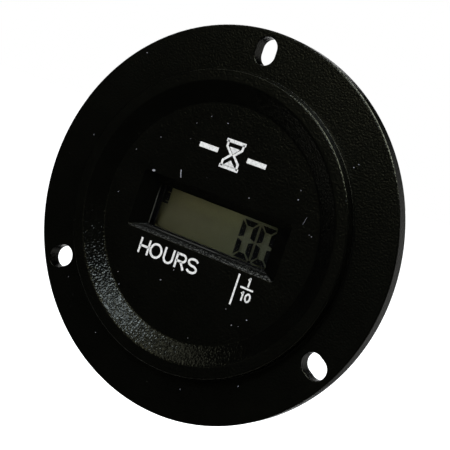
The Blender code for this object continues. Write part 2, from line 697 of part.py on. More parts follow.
def smoothing_capacitor(material):
    """Can on its side with a crimp near its base and two bent leads."""
    radius = CAPACITOR_RADIUS
    end = CAPACITOR_LENGTH / 2
    crimp = end - CAPACITOR_CRIMP_TO_END
    profile = rounded([
        (0.0, -end, 0.0, 0),
        (radius, -end, CAPACITOR_CRIMP, 2),
        (radius, crimp - 2 * CAPACITOR_CRIMP, 0.0, 0),
        (radius - CAPACITOR_CRIMP, crimp - CAPACITOR_CRIMP, 0.0, 0),
        (radius, crimp, 0.0, 0),
        (radius, end, CAPACITOR_CRIMP, 2),
        (0.0, end, 0.0, 0),
    ])
    bm = bmesh.new()
    turned(bm, profile, HOLE_SEGMENTS)
    lay_along(bm, "X", (0, radius, 0))
    seat(bm, 0.0, CAPACITOR_Z)
    can = add_object("smoothing_capacitor", bm, material)
    bend = end + CAPACITOR_LEAD_REACH
    bm = bmesh.new()
    for side in (-1, 1):
        z = side * CAPACITOR_LEAD_PITCH / 2
        sweep(bm, [(end - radius, radius, z), (bend, radius, z), (bend, 0, z)],
              (0, 0, 1), round_section(LEAD_RADIUS))
    seat(bm, 0.0, CAPACITOR_Z)
    join(can, add_object("smoothing_capacitor_leads", bm))


def dropping_resistor(name, side, material):
    """Axial resistor with one lead bent down at each end."""
    half = RESISTOR_LENGTH / 2
    waist = half - RESISTOR_CAP_LENGTH
    bulge = RESISTOR_RADIUS + RESISTOR_BULGE
    profile = rounded([
        (0.0, -half, 0.0, 0),
        (bulge, -half, 2 * RESISTOR_BULGE, 2),
        (bulge, -waist, RESISTOR_BULGE, 1),
        (RESISTOR_RADIUS, RESISTOR_BULGE - waist, RESISTOR_BULGE, 1),
        (RESISTOR_RADIUS, waist - RESISTOR_BULGE, RESISTOR_BULGE, 1),
        (bulge, waist, RESISTOR_BULGE, 1),
        (bulge, half, 2 * RESISTOR_BULGE, 2),
        (0.0, half, 0.0, 0),
    ])
    place = (side * RESISTOR_X, RESISTOR_Z)
    bm = bmesh.new()
    turned(bm, profile, SMALL_SEGMENTS)
    lay_along(bm, "Z", (0, bulge, 0))
    seat(bm, *place)
    resistor = add_object(name, bm, material)
    reach = half + RESISTOR_LEAD
    bm = bmesh.new()
    sweep(bm, [(0, 0, -reach), (0, bulge, -reach), (0, bulge, reach), (0, 0, reach)],
          (1, 0, 0), round_section(LEAD_RADIUS))
    seat(bm, *place)
    join(resistor, add_object(name + "_leads", bm))


def blade_terminal(name, side, material):
    """Flat blade with a shoulder inside the cover and a leg through the board."""
    shoulder_front = SHOULDER_BACK - SHOULDER_HEIGHT
    half_outline = [
        (LEG_WIDTH / 2, BOARD_FRONT - LEG_THROUGH),
        (LEG_WIDTH / 2, shoulder_front),
        (SHOULDER_WIDTH / 2, shoulder_front),
        (SHOULDER_WIDTH / 2, SHOULDER_BACK),
        (BLADE_WIDTH / 2, SHOULDER_BACK),
        (BLADE_WIDTH / 2, BLADE_TIP - BLADE_TAPER_LENGTH),
        (BLADE_WIDTH / 2 - BLADE_TAPER_WIDTH, BLADE_TIP),
    ]
    outline = half_outline + [(-u, y) for u, y in reversed(half_outline)]
    left = side * TERMINAL_X - BLADE_THICKNESS / 2
    bm = bmesh.new()
    face = bm.faces.new([bm.verts.new((left, y, TERMINAL_Z + u)) for u, y in outline])
    grown = bmesh.ops.extrude_face_region(bm, geom=[face])
    moved = [item for item in grown["geom"] if isinstance(item, bmesh.types.BMVert)]
    bmesh.ops.translate(bm, verts=moved, vec=(BLADE_THICKNESS, 0, 0))
    blade = add_object(name, bm, material)
    bm = bmesh.new()
    length = BLADE_THICKNESS + 2 * OVERSHOOT
    cylinder(bm, BLADE_HOLE_RADIUS, -length / 2, length / 2, segments=SMALL_SEGMENTS)
    lay_along(bm, "X", (side * TERMINAL_X, BLADE_TIP - BLADE_HOLE_TO_TIP, TERMINAL_Z))
    cut(blade, add_object(name + "_hole_cutter", bm))


def rear_cover(material):
    """Round cover with a spigot inside the cup, and a raised collar with a slot at each blade."""
    spigot_outer = CUP_INNER - SEAT_GAP
    spigot_front = COVER_FRONT - SPIGOT_DEPTH
    profile = rounded([
        (0.0, COVER_FRONT, 0.0, 0),
        (spigot_outer - SPIGOT_WALL, COVER_FRONT, 0.0, 0),
        (spigot_outer - SPIGOT_WALL, spigot_front, 0.0, 0),
        (spigot_outer, spigot_front, CUP_EDGE_ROUND, 1),
        (spigot_outer, COVER_FRONT, 0.0, 0),
        (CUP_RADIUS, COVER_FRONT, REAR_EDGE_ROUND, 1),
        (CUP_RADIUS, COVER_BACK, COVER_EDGE_ROUND, 3),
        (0.0, COVER_BACK, 0.0, 0),
    ])
    bm = bmesh.new()
    turned(bm, profile, BODY_SEGMENTS)
    cover = add_object("rear_cover", bm, material)
    slot = (BLADE_THICKNESS + 2 * SEAT_GAP, BLADE_WIDTH + 2 * SEAT_GAP)
    collar = (slot[0] + 2 * COLLAR_BORDER, slot[1] + 2 * COLLAR_BORDER)
    collar_front = COVER_BACK - COVER_THICKNESS / 2
    collar_depth = COVER_THICKNESS / 2 + COLLAR_HEIGHT
    collars = bmesh.new()
    slots = bmesh.new()
    for side in (-1, 1):
        place = {"z": TERMINAL_Z, "x": side * TERMINAL_X}
        plate(collars, collar, collar_front, collar_depth, corner=COLLAR_CORNER, **place)
        plate(slots, slot, COVER_FRONT - OVERSHOOT,
              COVER_THICKNESS + COLLAR_HEIGHT + 2 * OVERSHOOT, **place)
    join(cover, add_object("cover_collars", collars))
    cut(cover, add_object("cover_slot_cutter", slots))


def build():
    """Make every piece of the meter."""
    clear_scene()
    black_moulding = finish_material("black_moulding", (0.012, 0.012, 0.011), 0.55)
    black_plastic = finish_material("black_plastic", (0.015, 0.015, 0.015), 0.6)
    clear_plastic = finish_material("clear_plastic", (0.9, 0.9, 0.9), 0.05, alpha=0.2)
    display_glass = finish_material("display_glass", (0.85, 0.9, 0.86), 0.05, alpha=0.25)
    polariser_film = finish_material("polariser_film", (0.45, 0.45, 0.36), 0.2, alpha=0.4)
    olive_reflector = finish_material("olive_reflector", (0.13, 0.12, 0.07), 0.45)
    grey_rubber = finish_material("grey_rubber", (0.10, 0.10, 0.11), 0.8)
    green_laminate = finish_material("green_laminate", (0.02, 0.12, 0.05), 0.4)
    chip_moulding = finish_material("chip_moulding", (0.02, 0.02, 0.022), 0.5)
    plated_steel = finish_material("plated_steel", (0.62, 0.61, 0.58), 0.3, 1.0)
    tinned_brass = finish_material("tinned_brass", (0.70, 0.68, 0.60), 0.35, 1.0)
    blue_coating = finish_material("blue_coating", (0.03, 0.10, 0.32), 0.35)
    can_sleeve = finish_material("can_sleeve", (0.03, 0.04, 0.08), 0.4)
    resistor_coating = finish_material("resistor_coating", (0.25, 0.42, 0.48), 0.45)

    housing(black_moulding)
    window_lens(clear_plastic)
    display_layer("lcd_front_polarizer", FILM_SIZE, FILM_FRONT, FILM_THICKNESS, polariser_film)
    display_layer("lcd_front_glass", FRONT_GLASS_SIZE, FRONT_GLASS_FRONT, GLASS_THICKNESS,
                  display_glass)
    display_layer("lcd_rear_glass", REAR_GLASS_SIZE, REAR_GLASS_FRONT, GLASS_THICKNESS,
                  display_glass)
    display_layer("lcd_reflector", FILM_SIZE, REFLECTOR_FRONT, FILM_THICKNESS, olive_reflector)
    display_holder(black_plastic)
    zebra_strip("zebra_strip_upper", 1, grey_rubber)
    zebra_strip("zebra_strip_lower", -1, grey_rubber)
    circuit_board(green_laminate)
    for index, (x, z) in enumerate(boss_places(), start=1):
        board_screw(f"board_screw_{index}", x, z, plated_steel)
    lithium_cell(plated_steel)
    cell_tabs(plated_steel)
    quartz_crystal(plated_steel)
    packaged_chip("bridge_rectifier", (BRIDGE_WIDTH, BRIDGE_LENGTH, BRIDGE_HEIGHT),
                  (0.0, BRIDGE_Z), (2, BRIDGE_PITCH), DIP_LEG_WIDTH, False, chip_moulding)
    packaged_chip("optocoupler", (OPTO_WIDTH, OPTO_LENGTH, OPTO_HEIGHT),
                  (CHIP_X, CHIP_Z), (2, OPTO_PITCH), DIP_LEG_WIDTH, False, chip_moulding)
    packaged_chip("microcontroller", (CHIP_WIDTH, CHIP_LENGTH, CHIP_HEIGHT),
                  (-CHIP_X, CHIP_Z), (CHIP_LEGS, CHIP_PITCH), CHIP_LEG_WIDTH, True,
                  chip_moulding)
    varistor(blue_coating)
    smoothing_capacitor(can_sleeve)
    dropping_resistor("dropping_resistor_left", -1, resistor_coating)
    dropping_resistor("dropping_resistor_right", 1, resistor_coating)
    blade_terminal("terminal_left", -1, tinned_brass)
    blade_terminal("terminal_right", 1, tinned_brass)
    rear_cover(black_plastic)


build()
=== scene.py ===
"""Looks of the round three-hole hour meter: finishes, dial print, display digits, lights and camera.

Metres, +Z up. The dial faces -Y and the meter's axis is the Y axis, as in its solids.
"""

import math
import random

import bmesh
import bpy
from mathutils import Matrix, Vector


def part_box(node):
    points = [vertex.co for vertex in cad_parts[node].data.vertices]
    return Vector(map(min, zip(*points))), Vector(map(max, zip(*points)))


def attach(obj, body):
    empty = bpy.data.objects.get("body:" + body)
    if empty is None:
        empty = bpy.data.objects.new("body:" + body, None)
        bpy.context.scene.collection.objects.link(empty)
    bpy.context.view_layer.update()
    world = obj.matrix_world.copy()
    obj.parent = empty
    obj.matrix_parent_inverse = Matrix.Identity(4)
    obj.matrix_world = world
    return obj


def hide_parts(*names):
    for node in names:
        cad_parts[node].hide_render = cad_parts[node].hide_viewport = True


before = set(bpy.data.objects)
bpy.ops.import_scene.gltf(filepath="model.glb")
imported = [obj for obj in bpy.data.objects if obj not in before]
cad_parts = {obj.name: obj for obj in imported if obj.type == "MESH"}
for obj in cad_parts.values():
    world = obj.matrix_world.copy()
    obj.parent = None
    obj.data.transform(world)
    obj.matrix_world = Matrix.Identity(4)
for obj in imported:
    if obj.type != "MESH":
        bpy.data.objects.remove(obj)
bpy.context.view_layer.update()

# Sizes of the moulded housing, as its solid has them
DIAL_RADIUS = 0.0221
DIAL_FRONT = -0.00324
DIAL_BACK = -0.00074
CONE_OUTER = 0.0256
RING_OUTER = 0.0279
RING_FOOT = 0.02804
FLANGE_FRONT = -0.0030
BOLT_CIRCLE_RADIUS = 0.03253
BOLT_SLOT_LENGTH = 0.0052
BOLT_SLOT_WIDTH = 0.0041
BOLT_SLOT_COUNT = 3
CUP_RADIUS = 0.0255
CUP_INNER = 0.0235
POCKET_FRONT = -0.0011
POCKET_BACK = 0.0014
POCKET_BORDER = 0.0021
POCKET_CORNER = 0.0008
POST_RADIUS = 0.0021
POST_PILOT = 0.0012
POST_PILOT_END = 0.0009
POST_ROOT = -0.00124
POST_END = 0.0062

# Window recess, measured once more: a little wider and lower than in its solid, broader slopes
WINDOW_WIDTH = 0.0257
WINDOW_HEIGHT = 0.0079
WINDOW_Z = -0.00034
SLOPE_END = -0.0015
SLOPE_SIDE = 0.0031
SLOPE_TOP = 0.0016
SLOPE_BOTTOM = 0.0012
WINDOW_CORNER = 0.0003
SLOPE_CORNER = 0.0006

# Fineness of the turned shapes
ROUND_SEGMENTS = 5
BODY_SEGMENTS = 256
POST_SEGMENTS = 32

# Sizes read from the frame
housing_low, housing_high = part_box("housing")
FLANGE_RADIUS = housing_high.x
RING_FRONT = housing_low.y
CUP_END = housing_high.y
rear_glass_low, rear_glass_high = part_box("lcd_rear_glass")
front_glass_low, front_glass_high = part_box("lcd_front_glass")

# Edge rounds of the housing
ROUNDS = {
    "flange front": 0.0003,
    "flange back": 0.00015,
    "ring": 0.0003,
    "ring foot": 0.00008,
    "dial": 0.00025,
    "slot": 0.00015,
    "window": 0.00016,
    "cup": 0.0003,
}

# Print on the dial: each letter with its left edge and width, each figure with its base too
PRINT_THICKNESS = 0.00002
PRINT_LIFT = 0.000005
PRINT_FRONT = DIAL_FRONT - PRINT_LIFT - PRINT_THICKNESS
LETTER_HEIGHT = 0.0029
LETTER_STROKE = 0.00041
LETTER_BASE = -0.0097
LETTERS = (("H", -0.01216, 0.00230), ("O", -0.00976, 0.00276), ("U", -0.00664, 0.00226),
           ("R", -0.00397, 0.00232), ("S", -0.00138, 0.00238))
SMALL_HEIGHT = 0.00172
SMALL_STROKE = 0.00032
FIGURES = (("1", 0.01118, 0.00069, -0.00793), ("1", 0.01066, 0.00067, -0.01062),
           ("0", 0.01165, 0.00125, -0.01062))
FRACTION_BAR = ((0.01024, -0.00829), (0.01290, -0.00829))
FRACTION_BAR_STROKE = 0.00033
TENTHS_RULE = ((0.00934, -0.00622), (0.00934, -0.01197))
TENTHS_RULE_STROKE = 0.00034

# Sand-glass sign above the window, with a dash on each side
SIGN_X = 0.00045
SIGN_Z = 0.0131
GLASS_HALF_WIDTH = 0.0016
GLASS_HALF_HEIGHT = 0.0024
GLASS_HALF_NECK = 0.00028
GLASS_STROKE = 0.00042
GLASS_BAR_STROKE = 0.00062
SAND_STROKE = 0.00024
SAND_LAYERS = 5
DASH_START = 0.0031
DASH_LENGTH = 0.0040
DASH_STROKE = 0.0009

# Digits of the display
DIGIT_LEFTS = (0.00396, 0.00792)
DIGIT_BOTTOM = -0.00440
DIGIT_WIDTH = 0.00350
DIGIT_HEIGHT = 0.00718
SEGMENT_STROKE = 0.00106
SEGMENT_GAP = 0.00013
SEGMENT_THICKNESS = 0.00002

# Point and counting mark of the display: left, right, bottom and top of each block
SMALL_MARKS = (
    (0.00739, 0.00799, -0.00480, -0.00420),
    (-0.01460, -0.01292, 0.00004, 0.00380),
    (-0.01292, -0.01222, 0.00004, 0.00050),
    (-0.01292, -0.01222, 0.00062, 0.00218),
    (-0.01292, -0.01222, 0.00230, 0.00380),
)

# Specks: x, z, half length and turn of each
DIAL_SPECKS = (
    (-0.01418, 0.00554, 0.00042, 0.2), (0.00628, 0.00696, 0.00014, 0.9),
    (0.01545, 0.00970, 0.00016, 0.4), (0.01537, 0.01138, 0.00013, 1.2),
    (0.02005, 0.00450, 0.00013, 0.3), (-0.00556, -0.01288, 0.00014, 0.8),
    (-0.00359, -0.01022, 0.00012, 0.5), (0.01350, -0.01343, 0.00016, 0.1),
    (0.01099, -0.01533, 0.00014, 1.0), (-0.01920, 0.00810, 0.00015, 0.7),
    (-0.00247, 0.01822, 0.00013, 0.2), (0.01956, 0.00462, 0.00009, 1.4),
    (-0.00612, 0.01845, 0.00011, 0.6), (-0.01496, 0.01179, 0.00011, 0.3),
    (-0.00884, 0.01336, 0.00010, 1.1), (-0.02010, -0.00055, 0.00011, 0.5),
    (-0.00306, 0.00772, 0.00008, 0.0), (0.01231, -0.01504, 0.00008, 0.7),
    (0.00894, -0.01304, 0.00010, 0.4), (0.00359, -0.02069, 0.00008, 0.9),
    (-0.01473, -0.01461, 0.00010, 0.2), (-0.01372, -0.01670, 0.00013, 1.3),
    (-0.00861, 0.01645, 0.00009, 0.8),
)
FLANGE_SPECKS = (
    (-0.02364, 0.02573, 0.00014, 0.4), (-0.02945, 0.00784, 0.00009, 0.2),
    (-0.01547, -0.02708, 0.00010, 0.1), (0.00528, -0.02999, 0.00010, 1.2),
    (0.01595, -0.02497, 0.00011, 0.9), (-0.02507, -0.01939, 0.00009, 0.5),
    (0.02320, 0.01814, 0.00014, 0.6), (0.02389, 0.01890, 0.00013, 0.0),
)
SPECK_CORNERS = 9

# Fibres: the width of each, then its path
FIBRES = (
    (0.00016, ((-0.00868, 0.00745), (-0.00850, 0.00675), (-0.00822, 0.00606))),
    (0.00004, ((0.01805, 0.00733), (0.01792, 0.00660), (0.01776, 0.00596))),
)

# Camera, solved from the photograph
CAMERA_AZIMUTH = math.radians(27.014)
CAMERA_ELEVATION = math.radians(5.842)
CAMERA_ROLL = math.radians(18.502)
CAMERA_DISTANCE = 0.22077
CAMERA_ASIDE = 0.00304
CAMERA_RISE = -0.00025
CAMERA_LENS = 97.83
SENSOR_WIDTH = 36.0

# Lamps: name, azimuth, elevation, size, power and colour
LAMP_DISTANCE = 0.62
LAMPS = (
    ("key_lamp", -2, 37, 0.12, 1.6, (0.54, 0.62, 1.0)),
    ("side_lamp", -40, 40, 0.20, 0.20, (0.90, 0.92, 1.0)),
    ("front_lamp", -15, 20, 0.16, 0.28, (1.0, 1.0, 0.97)),
    ("top_lamp", 105, 64, 0.60, 10.0, (0.90, 0.95, 1.0)),
    ("back_lamp", 235, 30, 0.30, 0.8, (1.0, 1.0, 1.0)),
)

# Surroundings
WORLD_COLOUR = (0.97, 0.98, 1.0)
WORLD_STRENGTH = 0.88
FLOOR_HALF_WIDTH = 3.0
FLOOR_Z = -0.125
FLOOR_GLOW = 0.74
TENT_RADIUS = 1.5
TENT_CUT = 0.93
BRIGHT_SIDE = (0.50, 0.85, -0.12)
BACKDROP_SIDE = Vector((-0.452, 0.886, -0.102))

MERGE_DISTANCE = 0.000002
SHARP_ANGLE = math.radians(34)


class Wire:
    """A socket that works in sums as a number does."""

    def __init__(self, wiring, socket):
        self.wiring = wiring
        self.socket = socket

    def maths(self, operation, *terms, clamp=False):
        settings = {"operation": operation, "use_clamp": clamp}
        return self.wiring.node("ShaderNodeMath", settings, dict(enumerate(terms)))

    def __add__(self, other):
        return self.maths("ADD", self, other)

    def __radd__(self, other):
        return self.maths("ADD", other, self)

    def __sub__(self, other):
        return self.maths("SUBTRACT", self, other)

    def __rsub__(self, other):
        return self.maths("SUBTRACT", other, self)

    def __mul__(self, other):
        return self.maths("MULTIPLY", self, other)

    def __rmul__(self, other):
        return self.maths("MULTIPLY", other, self)

    def clamped(self):
        return self.maths("ADD", self, 0.0, clamp=True)

    def most(self, other):
        return self.maths("MAXIMUM", self, other)

    def size(self):
        return self.maths("ABSOLUTE", self)


class Wiring:
    """The nodes of a material or of the world, and the wires between them."""

    def __init__(self, tree):
        self.tree = tree

    def join(self, value, socket):
        """Give a socket a wire, a number or a colour."""
        if isinstance(value, Wire):
            self.tree.links.new(value.socket, socket)
        elif isinstance(value, tuple) and socket.type == "RGBA":
            socket.default_value = (*value, 1.0)
        else:
            socket.default_value = value

    def node(self, kind, settings=None, inputs=None, output=0):
        """Add any node: its settings first, then the values and wires of its sockets."""
        made = self.tree.nodes.new(kind)
        for key, value in (settings or {}).items():
            setattr(made, key, value)
        for key, value in (inputs or {}).items():
            self.join(value, made.inputs[key])
        return Wire(self, made.outputs[output])

    def seen_directly(self):
        """1 on camera, glossy and transmission rays, which see the white background."""
        path = self.node("ShaderNodeLightPath").socket.node
        kinds = ("Is Camera Ray", "Is Glossy Ray", "Is Transmission Ray")
        camera, glossy, through = [Wire(self, path.outputs[kind]) for kind in kinds]
        return camera.most(glossy).most(through)


class Finish(Wiring):
    """A material in the making: its Principled shader and the nodes that feed it."""

    def __init__(self, name, colour, roughness, **constants):
        self.material = bpy.data.materials.new(name)
        self.material.use_nodes = True
        super().__init__(self.material.node_tree)
        self.shader = self.tree.nodes["Principled BSDF"]
        self.feed(Base_Color=colour, Roughness=roughness, **constants)

    def feed(self, **sockets):
        """Feed sockets of the Principled shader, with _ for a space in their names."""
        for socket, value in sockets.items():
            self.join(value, self.shader.inputs[socket.replace("_", " ")])
        return self.material

    def place(self):
        """Where a point is on the piece, in metres."""
        return self.node("ShaderNodeTexCoord", output="Object")

    def axes(self):
        """The x, y and z of a point, as three wires."""
        parts = self.node("ShaderNodeSeparateXYZ", inputs={0: self.place()}).socket.node
        return [Wire(self, parts.outputs[index]) for index in range(3)]

    def facing(self):
        """The x, y and z of the surface's normal, as three wires."""
        normal = self.node("ShaderNodeNewGeometry", output="Normal")
        parts = self.node("ShaderNodeSeparateXYZ", inputs={0: normal}).socket.node
        return [Wire(self, parts.outputs[index]) for index in range(3)]

    def noise(self, size, detail=3.0, rough=0.5, stretch=(1, 1, 1)):
        """Cloudy pattern from 0 to 1 with patches of about the given size in metres."""
        spot = self.node("ShaderNodeMapping", inputs={"Vector": self.place(), "Scale": stretch})
        values = {"Vector": spot, "Scale": 1 / size, "Detail": detail, "Roughness": rough}
        return self.node("ShaderNodeTexNoise", inputs=values, output=0)

    def cells(self, size, stretch=(1, 1, 1), feature="F1"):
        """Distance to the nearest of many scattered points, about the given size apart."""
        spot = self.node("ShaderNodeMapping", inputs={"Vector": self.place(), "Scale": stretch})
        return self.node("ShaderNodeTexVoronoi", {"feature": feature},
                         {"Vector": spot, "Scale": 1 / size}, output="Distance")

    def step(self, value, low, high):
        """Smooth step from 0 at low to 1 at high."""
        values = {"Value": value, "From Min": low, "From Max": high}
        return self.node("ShaderNodeMapRange", {"interpolation_type": "SMOOTHSTEP"}, values)

    def blend(self, factor, first, second):
        """Mix two colours."""
        made = self.node("ShaderNodeMix", {"data_type": "RGBA"}).socket.node
        self.join(factor, made.inputs["Factor"])
        self.join(first, made.inputs[6])
        self.join(second, made.inputs[7])
        return Wire(self, made.outputs[2])

    def bump(self, height, depth, strength=1.0):
        """Normal of a surface whose height pattern is depth metres deep."""
        values = {"Height": height, "Distance": depth, "Strength": strength}
        return self.node("ShaderNodeBump", inputs=values)


# Finishes

def grained_moulding():
    """Black phenolic face of the meter: fine grain, small pale specks, powder on the window's lower
    ledge that is partly a painted highlight, and painted highlights on the window's left land and along
    the ledge's inner edge.
    """
    finish = Finish("grained_moulding", (0.0036, 0.0036, 0.0031), 0.5, Specular_IOR_Level=0.22,
                    Specular_Tint=(1.0, 1.0, 0.62))
    grain = finish.noise(0.00034, 0.5, 0.5)
    mottle = finish.noise(0.004, 3.0, 0.55)
    x, y, z = finish.axes()
    across, forward, upward = finish.facing()
    tilted = 1 - finish.step(forward.size(), 0.93, 0.99)
    ledge = finish.step(upward, 0.45, 0.70) * (1 - finish.step(x.size(), 0.017, 0.019))
    ledge = ledge * (1 - finish.step(z, -0.0038, -0.0034)) * finish.step(z, -0.0075, -0.0070)
    speckle = finish.step(finish.noise(0.00030, 2.0, 0.6), 0.46, 0.70)
    # Painted highlight: a pale line along the inner edge of the window's lower slope.
    lip = 1 - finish.step((z + 0.00458).size(), 0.00004, 0.00012)
    lip = lip * (0.25 + 0.75 * finish.step(x, -0.013, -0.007) * (1 - finish.step(x, 0.002, 0.004)))
    # Powder on the window's lower ledge: partly real powder, partly a painted highlight of overhead
    # light, paler to the right and at the outer part.
    outer = 0.16 + 0.84 * (1 - finish.step(z, -0.0053, -0.0048))
    gathered = 0.45 + 0.42 * finish.step(x, -0.008, 0.012)
    ends = finish.step(x, -0.0170, -0.0138) * (1 - finish.step(x, 0.0140, 0.0168))
    powder = 0.03 * outer + 0.50 * speckle * outer * gathered + 0.15 * lip
    powder = ledge * powder * (0.2 + 0.8 * ends)
    # Painted highlight on the window's left land, as if lit from the right.
    wall = (x + WINDOW_WIDTH / 2).size()
    land = finish.step(across, 0.90, 0.97) * (1 - finish.step(wall, 0.0002, 0.0003))
    land = land * (0.30 + 0.40 * speckle) * (1 - finish.step(z, 0.0, 0.0035))
    lint = 1 - finish.step(finish.cells(0.0026), 0.018, 0.032)
    # Lint is a real mark; the powder term is partly real powder and partly painted highlight; the lip
    # and land terms are painted highlights.
    dust_and_painted_highlight = (powder + land + lint * 0.12).clamped()
    black = finish.blend(mottle, (0.0006, 0.0006, 0.0004), (0.0014, 0.0014, 0.0010))
    base = finish.blend(dust_and_painted_highlight, black, (0.20, 0.20, 0.168))
    behind = finish.step(y, 0.0, 0.0008)
    roughness = 0.25 - 0.11 * tilted + 0.24 * behind + 0.06 * grain + 0.03 * mottle
    height = grain * (0.5 + 0.5 * tilted) * (1 - 0.6 * behind)
    return finish.feed(Base_Color=base, Roughness=roughness, Normal=finish.bump(height, 0.00010, 1.0))


def smooth_moulding(name, level):
    """Black plastic with a fine spark-eroded skin, as pale as the level given."""
    finish = Finish(name, (level, level, level), 0.5, Specular_IOR_Level=0.35)
    grain = finish.noise(0.00016, 3.0, 0.6)
    mottle = finish.noise(0.006, 4.0, 0.6)
    dark = (0.75 * level, 0.75 * level, 0.70 * level)
    pale = (1.4 * level, 1.4 * level, 1.3 * level)
    base = finish.blend(mottle, dark, pale)
    return finish.feed(Base_Color=base, Roughness=0.42 + 0.12 * grain + 0.08 * mottle,
                       Normal=finish.bump(grain, 0.000015, 0.7))


def clear_window():
    """Clear acrylic lens with faint wiping marks."""
    finish = Finish("clear_window", (0.01, 0.01, 0.009), 0.08, Specular_IOR_Level=0.25)
    wipes = finish.noise(0.0012, 4.0, 0.6, (1, 1, 7))
    return finish.feed(Roughness=0.06 + 0.10 * wipes, Alpha=0.03 + 0.05 * wipes)


def display_glass():
    """Thin float glass, slightly green at its ground edges."""
    finish = Finish("display_glass", (0.02, 0.03, 0.022), 0.05, Specular_IOR_Level=0.25)
    haze = finish.noise(0.003, 3.0)
    sideways = 1 - finish.step(finish.facing()[1].size(), 0.3, 0.9)
    edge = finish.blend(sideways, (0.008, 0.010, 0.006), (0.10, 0.16, 0.12))
    return finish.feed(Base_Color=edge, Roughness=0.04 + 0.25 * sideways,
                       Alpha=(0.03 + 0.03 * haze + 0.5 * sideways).clamped())


def polariser_film():
    """Grey-green polarising film."""
    finish = Finish("polariser_film", (0.01, 0.01, 0.006), 0.25, Specular_IOR_Level=0.1)
    haze = finish.noise(0.004, 3.0)
    tint = finish.blend(haze, (0.006, 0.006, 0.003), (0.012, 0.011, 0.006))
    return finish.feed(Base_Color=tint, Roughness=0.22 + 0.1 * haze, Alpha=0.10 + 0.05 * haze)


def olive_reflector():
    """Brushed foil behind the display: olive, a little browner at its upper left, with painted light at
    its top, bottom and left edges and by the digits, to offset the shade cast there by the window's
    walls and the digits.
    """
    finish = Finish("olive_reflector", (0.10, 0.095, 0.055), 0.5, Specular_IOR_Level=0.2)
    x, _, z = finish.axes()
    drift = finish.step(x - 0.6 * z + 0.004 * finish.noise(0.006, 2.0), -0.010, 0.012)
    tone = finish.blend(drift, (0.312, 0.287, 0.117), (0.302, 0.318, 0.136))
    brushed = finish.noise(0.0005, 3.0, 0.6, (0.12, 1, 1))
    # Painted light: paler by the digits, where they cast shade, and brighter at the top, bottom and left
    # edges, where the window's walls cast shade; by the digits the tone is also greyer.
    paler = finish.step(x, 0.0028, 0.0042)
    upper = finish.step(z, -0.0005, 0.0026)
    lower = 1 - finish.step(z, -0.0036, -0.0018)
    painted_light_left = 1 - finish.step(x, -0.0125, -0.0108)
    level = 0.54 + 0.28 * upper + 0.06 * lower + 0.05 * paler + 0.08 * painted_light_left - 0.10 * brushed
    tone = finish.blend(0.25 * paler, tone, (0.33, 0.34, 0.24))
    base = finish.blend(level.clamped(), (0.0, 0.0, 0.0), tone)
    return finish.feed(Base_Color=base, Roughness=0.42 + 0.16 * brushed,
                       Normal=finish.bump(brushed, 0.000004, 0.5))


def display_ink():
    """Near-black liquid crystal segment."""
    finish = Finish("display_ink", (0.0012, 0.0012, 0.0016), 0.4, Specular_IOR_Level=0.1)
    cloud = finish.noise(0.0012, 3.0)
    ink = finish.blend(cloud, (0.0008, 0.0008, 0.0012), (0.0022, 0.0022, 0.0026))
    return finish.feed(Base_Color=ink, Roughness=0.35 + 0.15 * cloud)


def white_print():
    """Pad-printed white ink, thinner at its edges and slightly uneven."""
    finish = Finish("white_print", (0.80, 0.80, 0.78), 0.55, Specular_IOR_Level=0.3)
    cover = finish.noise(0.00035, 4.0, 0.65)
    base = finish.blend(finish.step(cover, 0.30, 0.62), (0.44, 0.43, 0.37), (0.64, 0.62, 0.54))
    return finish.feed(Base_Color=base, Roughness=0.5 + 0.15 * cover,
                       Normal=finish.bump(cover, 0.00001, 0.6))


def lint_white():
    """Pale lint and powder that lies on the face."""
    finish = Finish("lint_white", (0.45, 0.45, 0.45), 0.8)
    fluff = finish.noise(0.00012, 3.0)
    return finish.feed(Base_Color=finish.blend(fluff, (0.10, 0.10, 0.10), (0.34, 0.34, 0.33)),
                       Roughness=0.75 + 0.2 * fluff)


def contact_rubber():
    """Layered conductive rubber, dark grey bands across its length."""
    finish = Finish("contact_rubber", (0.10, 0.10, 0.11), 0.7)
    x = finish.axes()[0]
    bands = finish.step((x * 18000).maths("SINE"), -0.4, 0.4)
    grain = finish.noise(0.0002)
    base = finish.blend(bands, (0.03, 0.03, 0.032), (0.34, 0.34, 0.35))
    return finish.feed(Base_Color=base, Roughness=0.6 + 0.25 * grain)


def green_laminate():
    """Glass-epoxy board with a solder-mask weave and pale tracks under it."""
    finish = Finish("green_laminate", (0.01, 0.09, 0.035), 0.35)
    x, _, z = finish.axes()
    weave = (x * 5200).maths("SINE") * (z * 5200).maths("SINE")
    tracks = 1 - finish.step(finish.cells(0.0032, feature="DISTANCE_TO_EDGE"), 0.05, 0.09)
    mask = finish.blend(0.5 + 0.5 * weave, (0.008, 0.070, 0.026), (0.012, 0.095, 0.036))
    base = finish.blend(0.7 * tracks, mask, (0.03, 0.20, 0.07))
    return finish.feed(Base_Color=base, Roughness=0.3 + 0.1 * weave.size(),
                       Normal=finish.bump(tracks, 0.00003, 0.6))


def plated_steel():
    """Bright nickel plate with fine rolling marks and dull patches."""
    finish = Finish("plated_steel", (0.62, 0.61, 0.58), 0.3, Metallic=1.0)
    marks = finish.noise(0.0008, 4.0, 0.65, (1, 1, 9))
    dull = finish.noise(0.003, 3.0)
    base = finish.blend(dull, (0.50, 0.49, 0.46), (0.68, 0.67, 0.65))
    return finish.feed(Base_Color=base, Roughness=0.22 + 0.18 * marks + 0.12 * dull,
                       Normal=finish.bump(marks, 0.000003, 0.5))


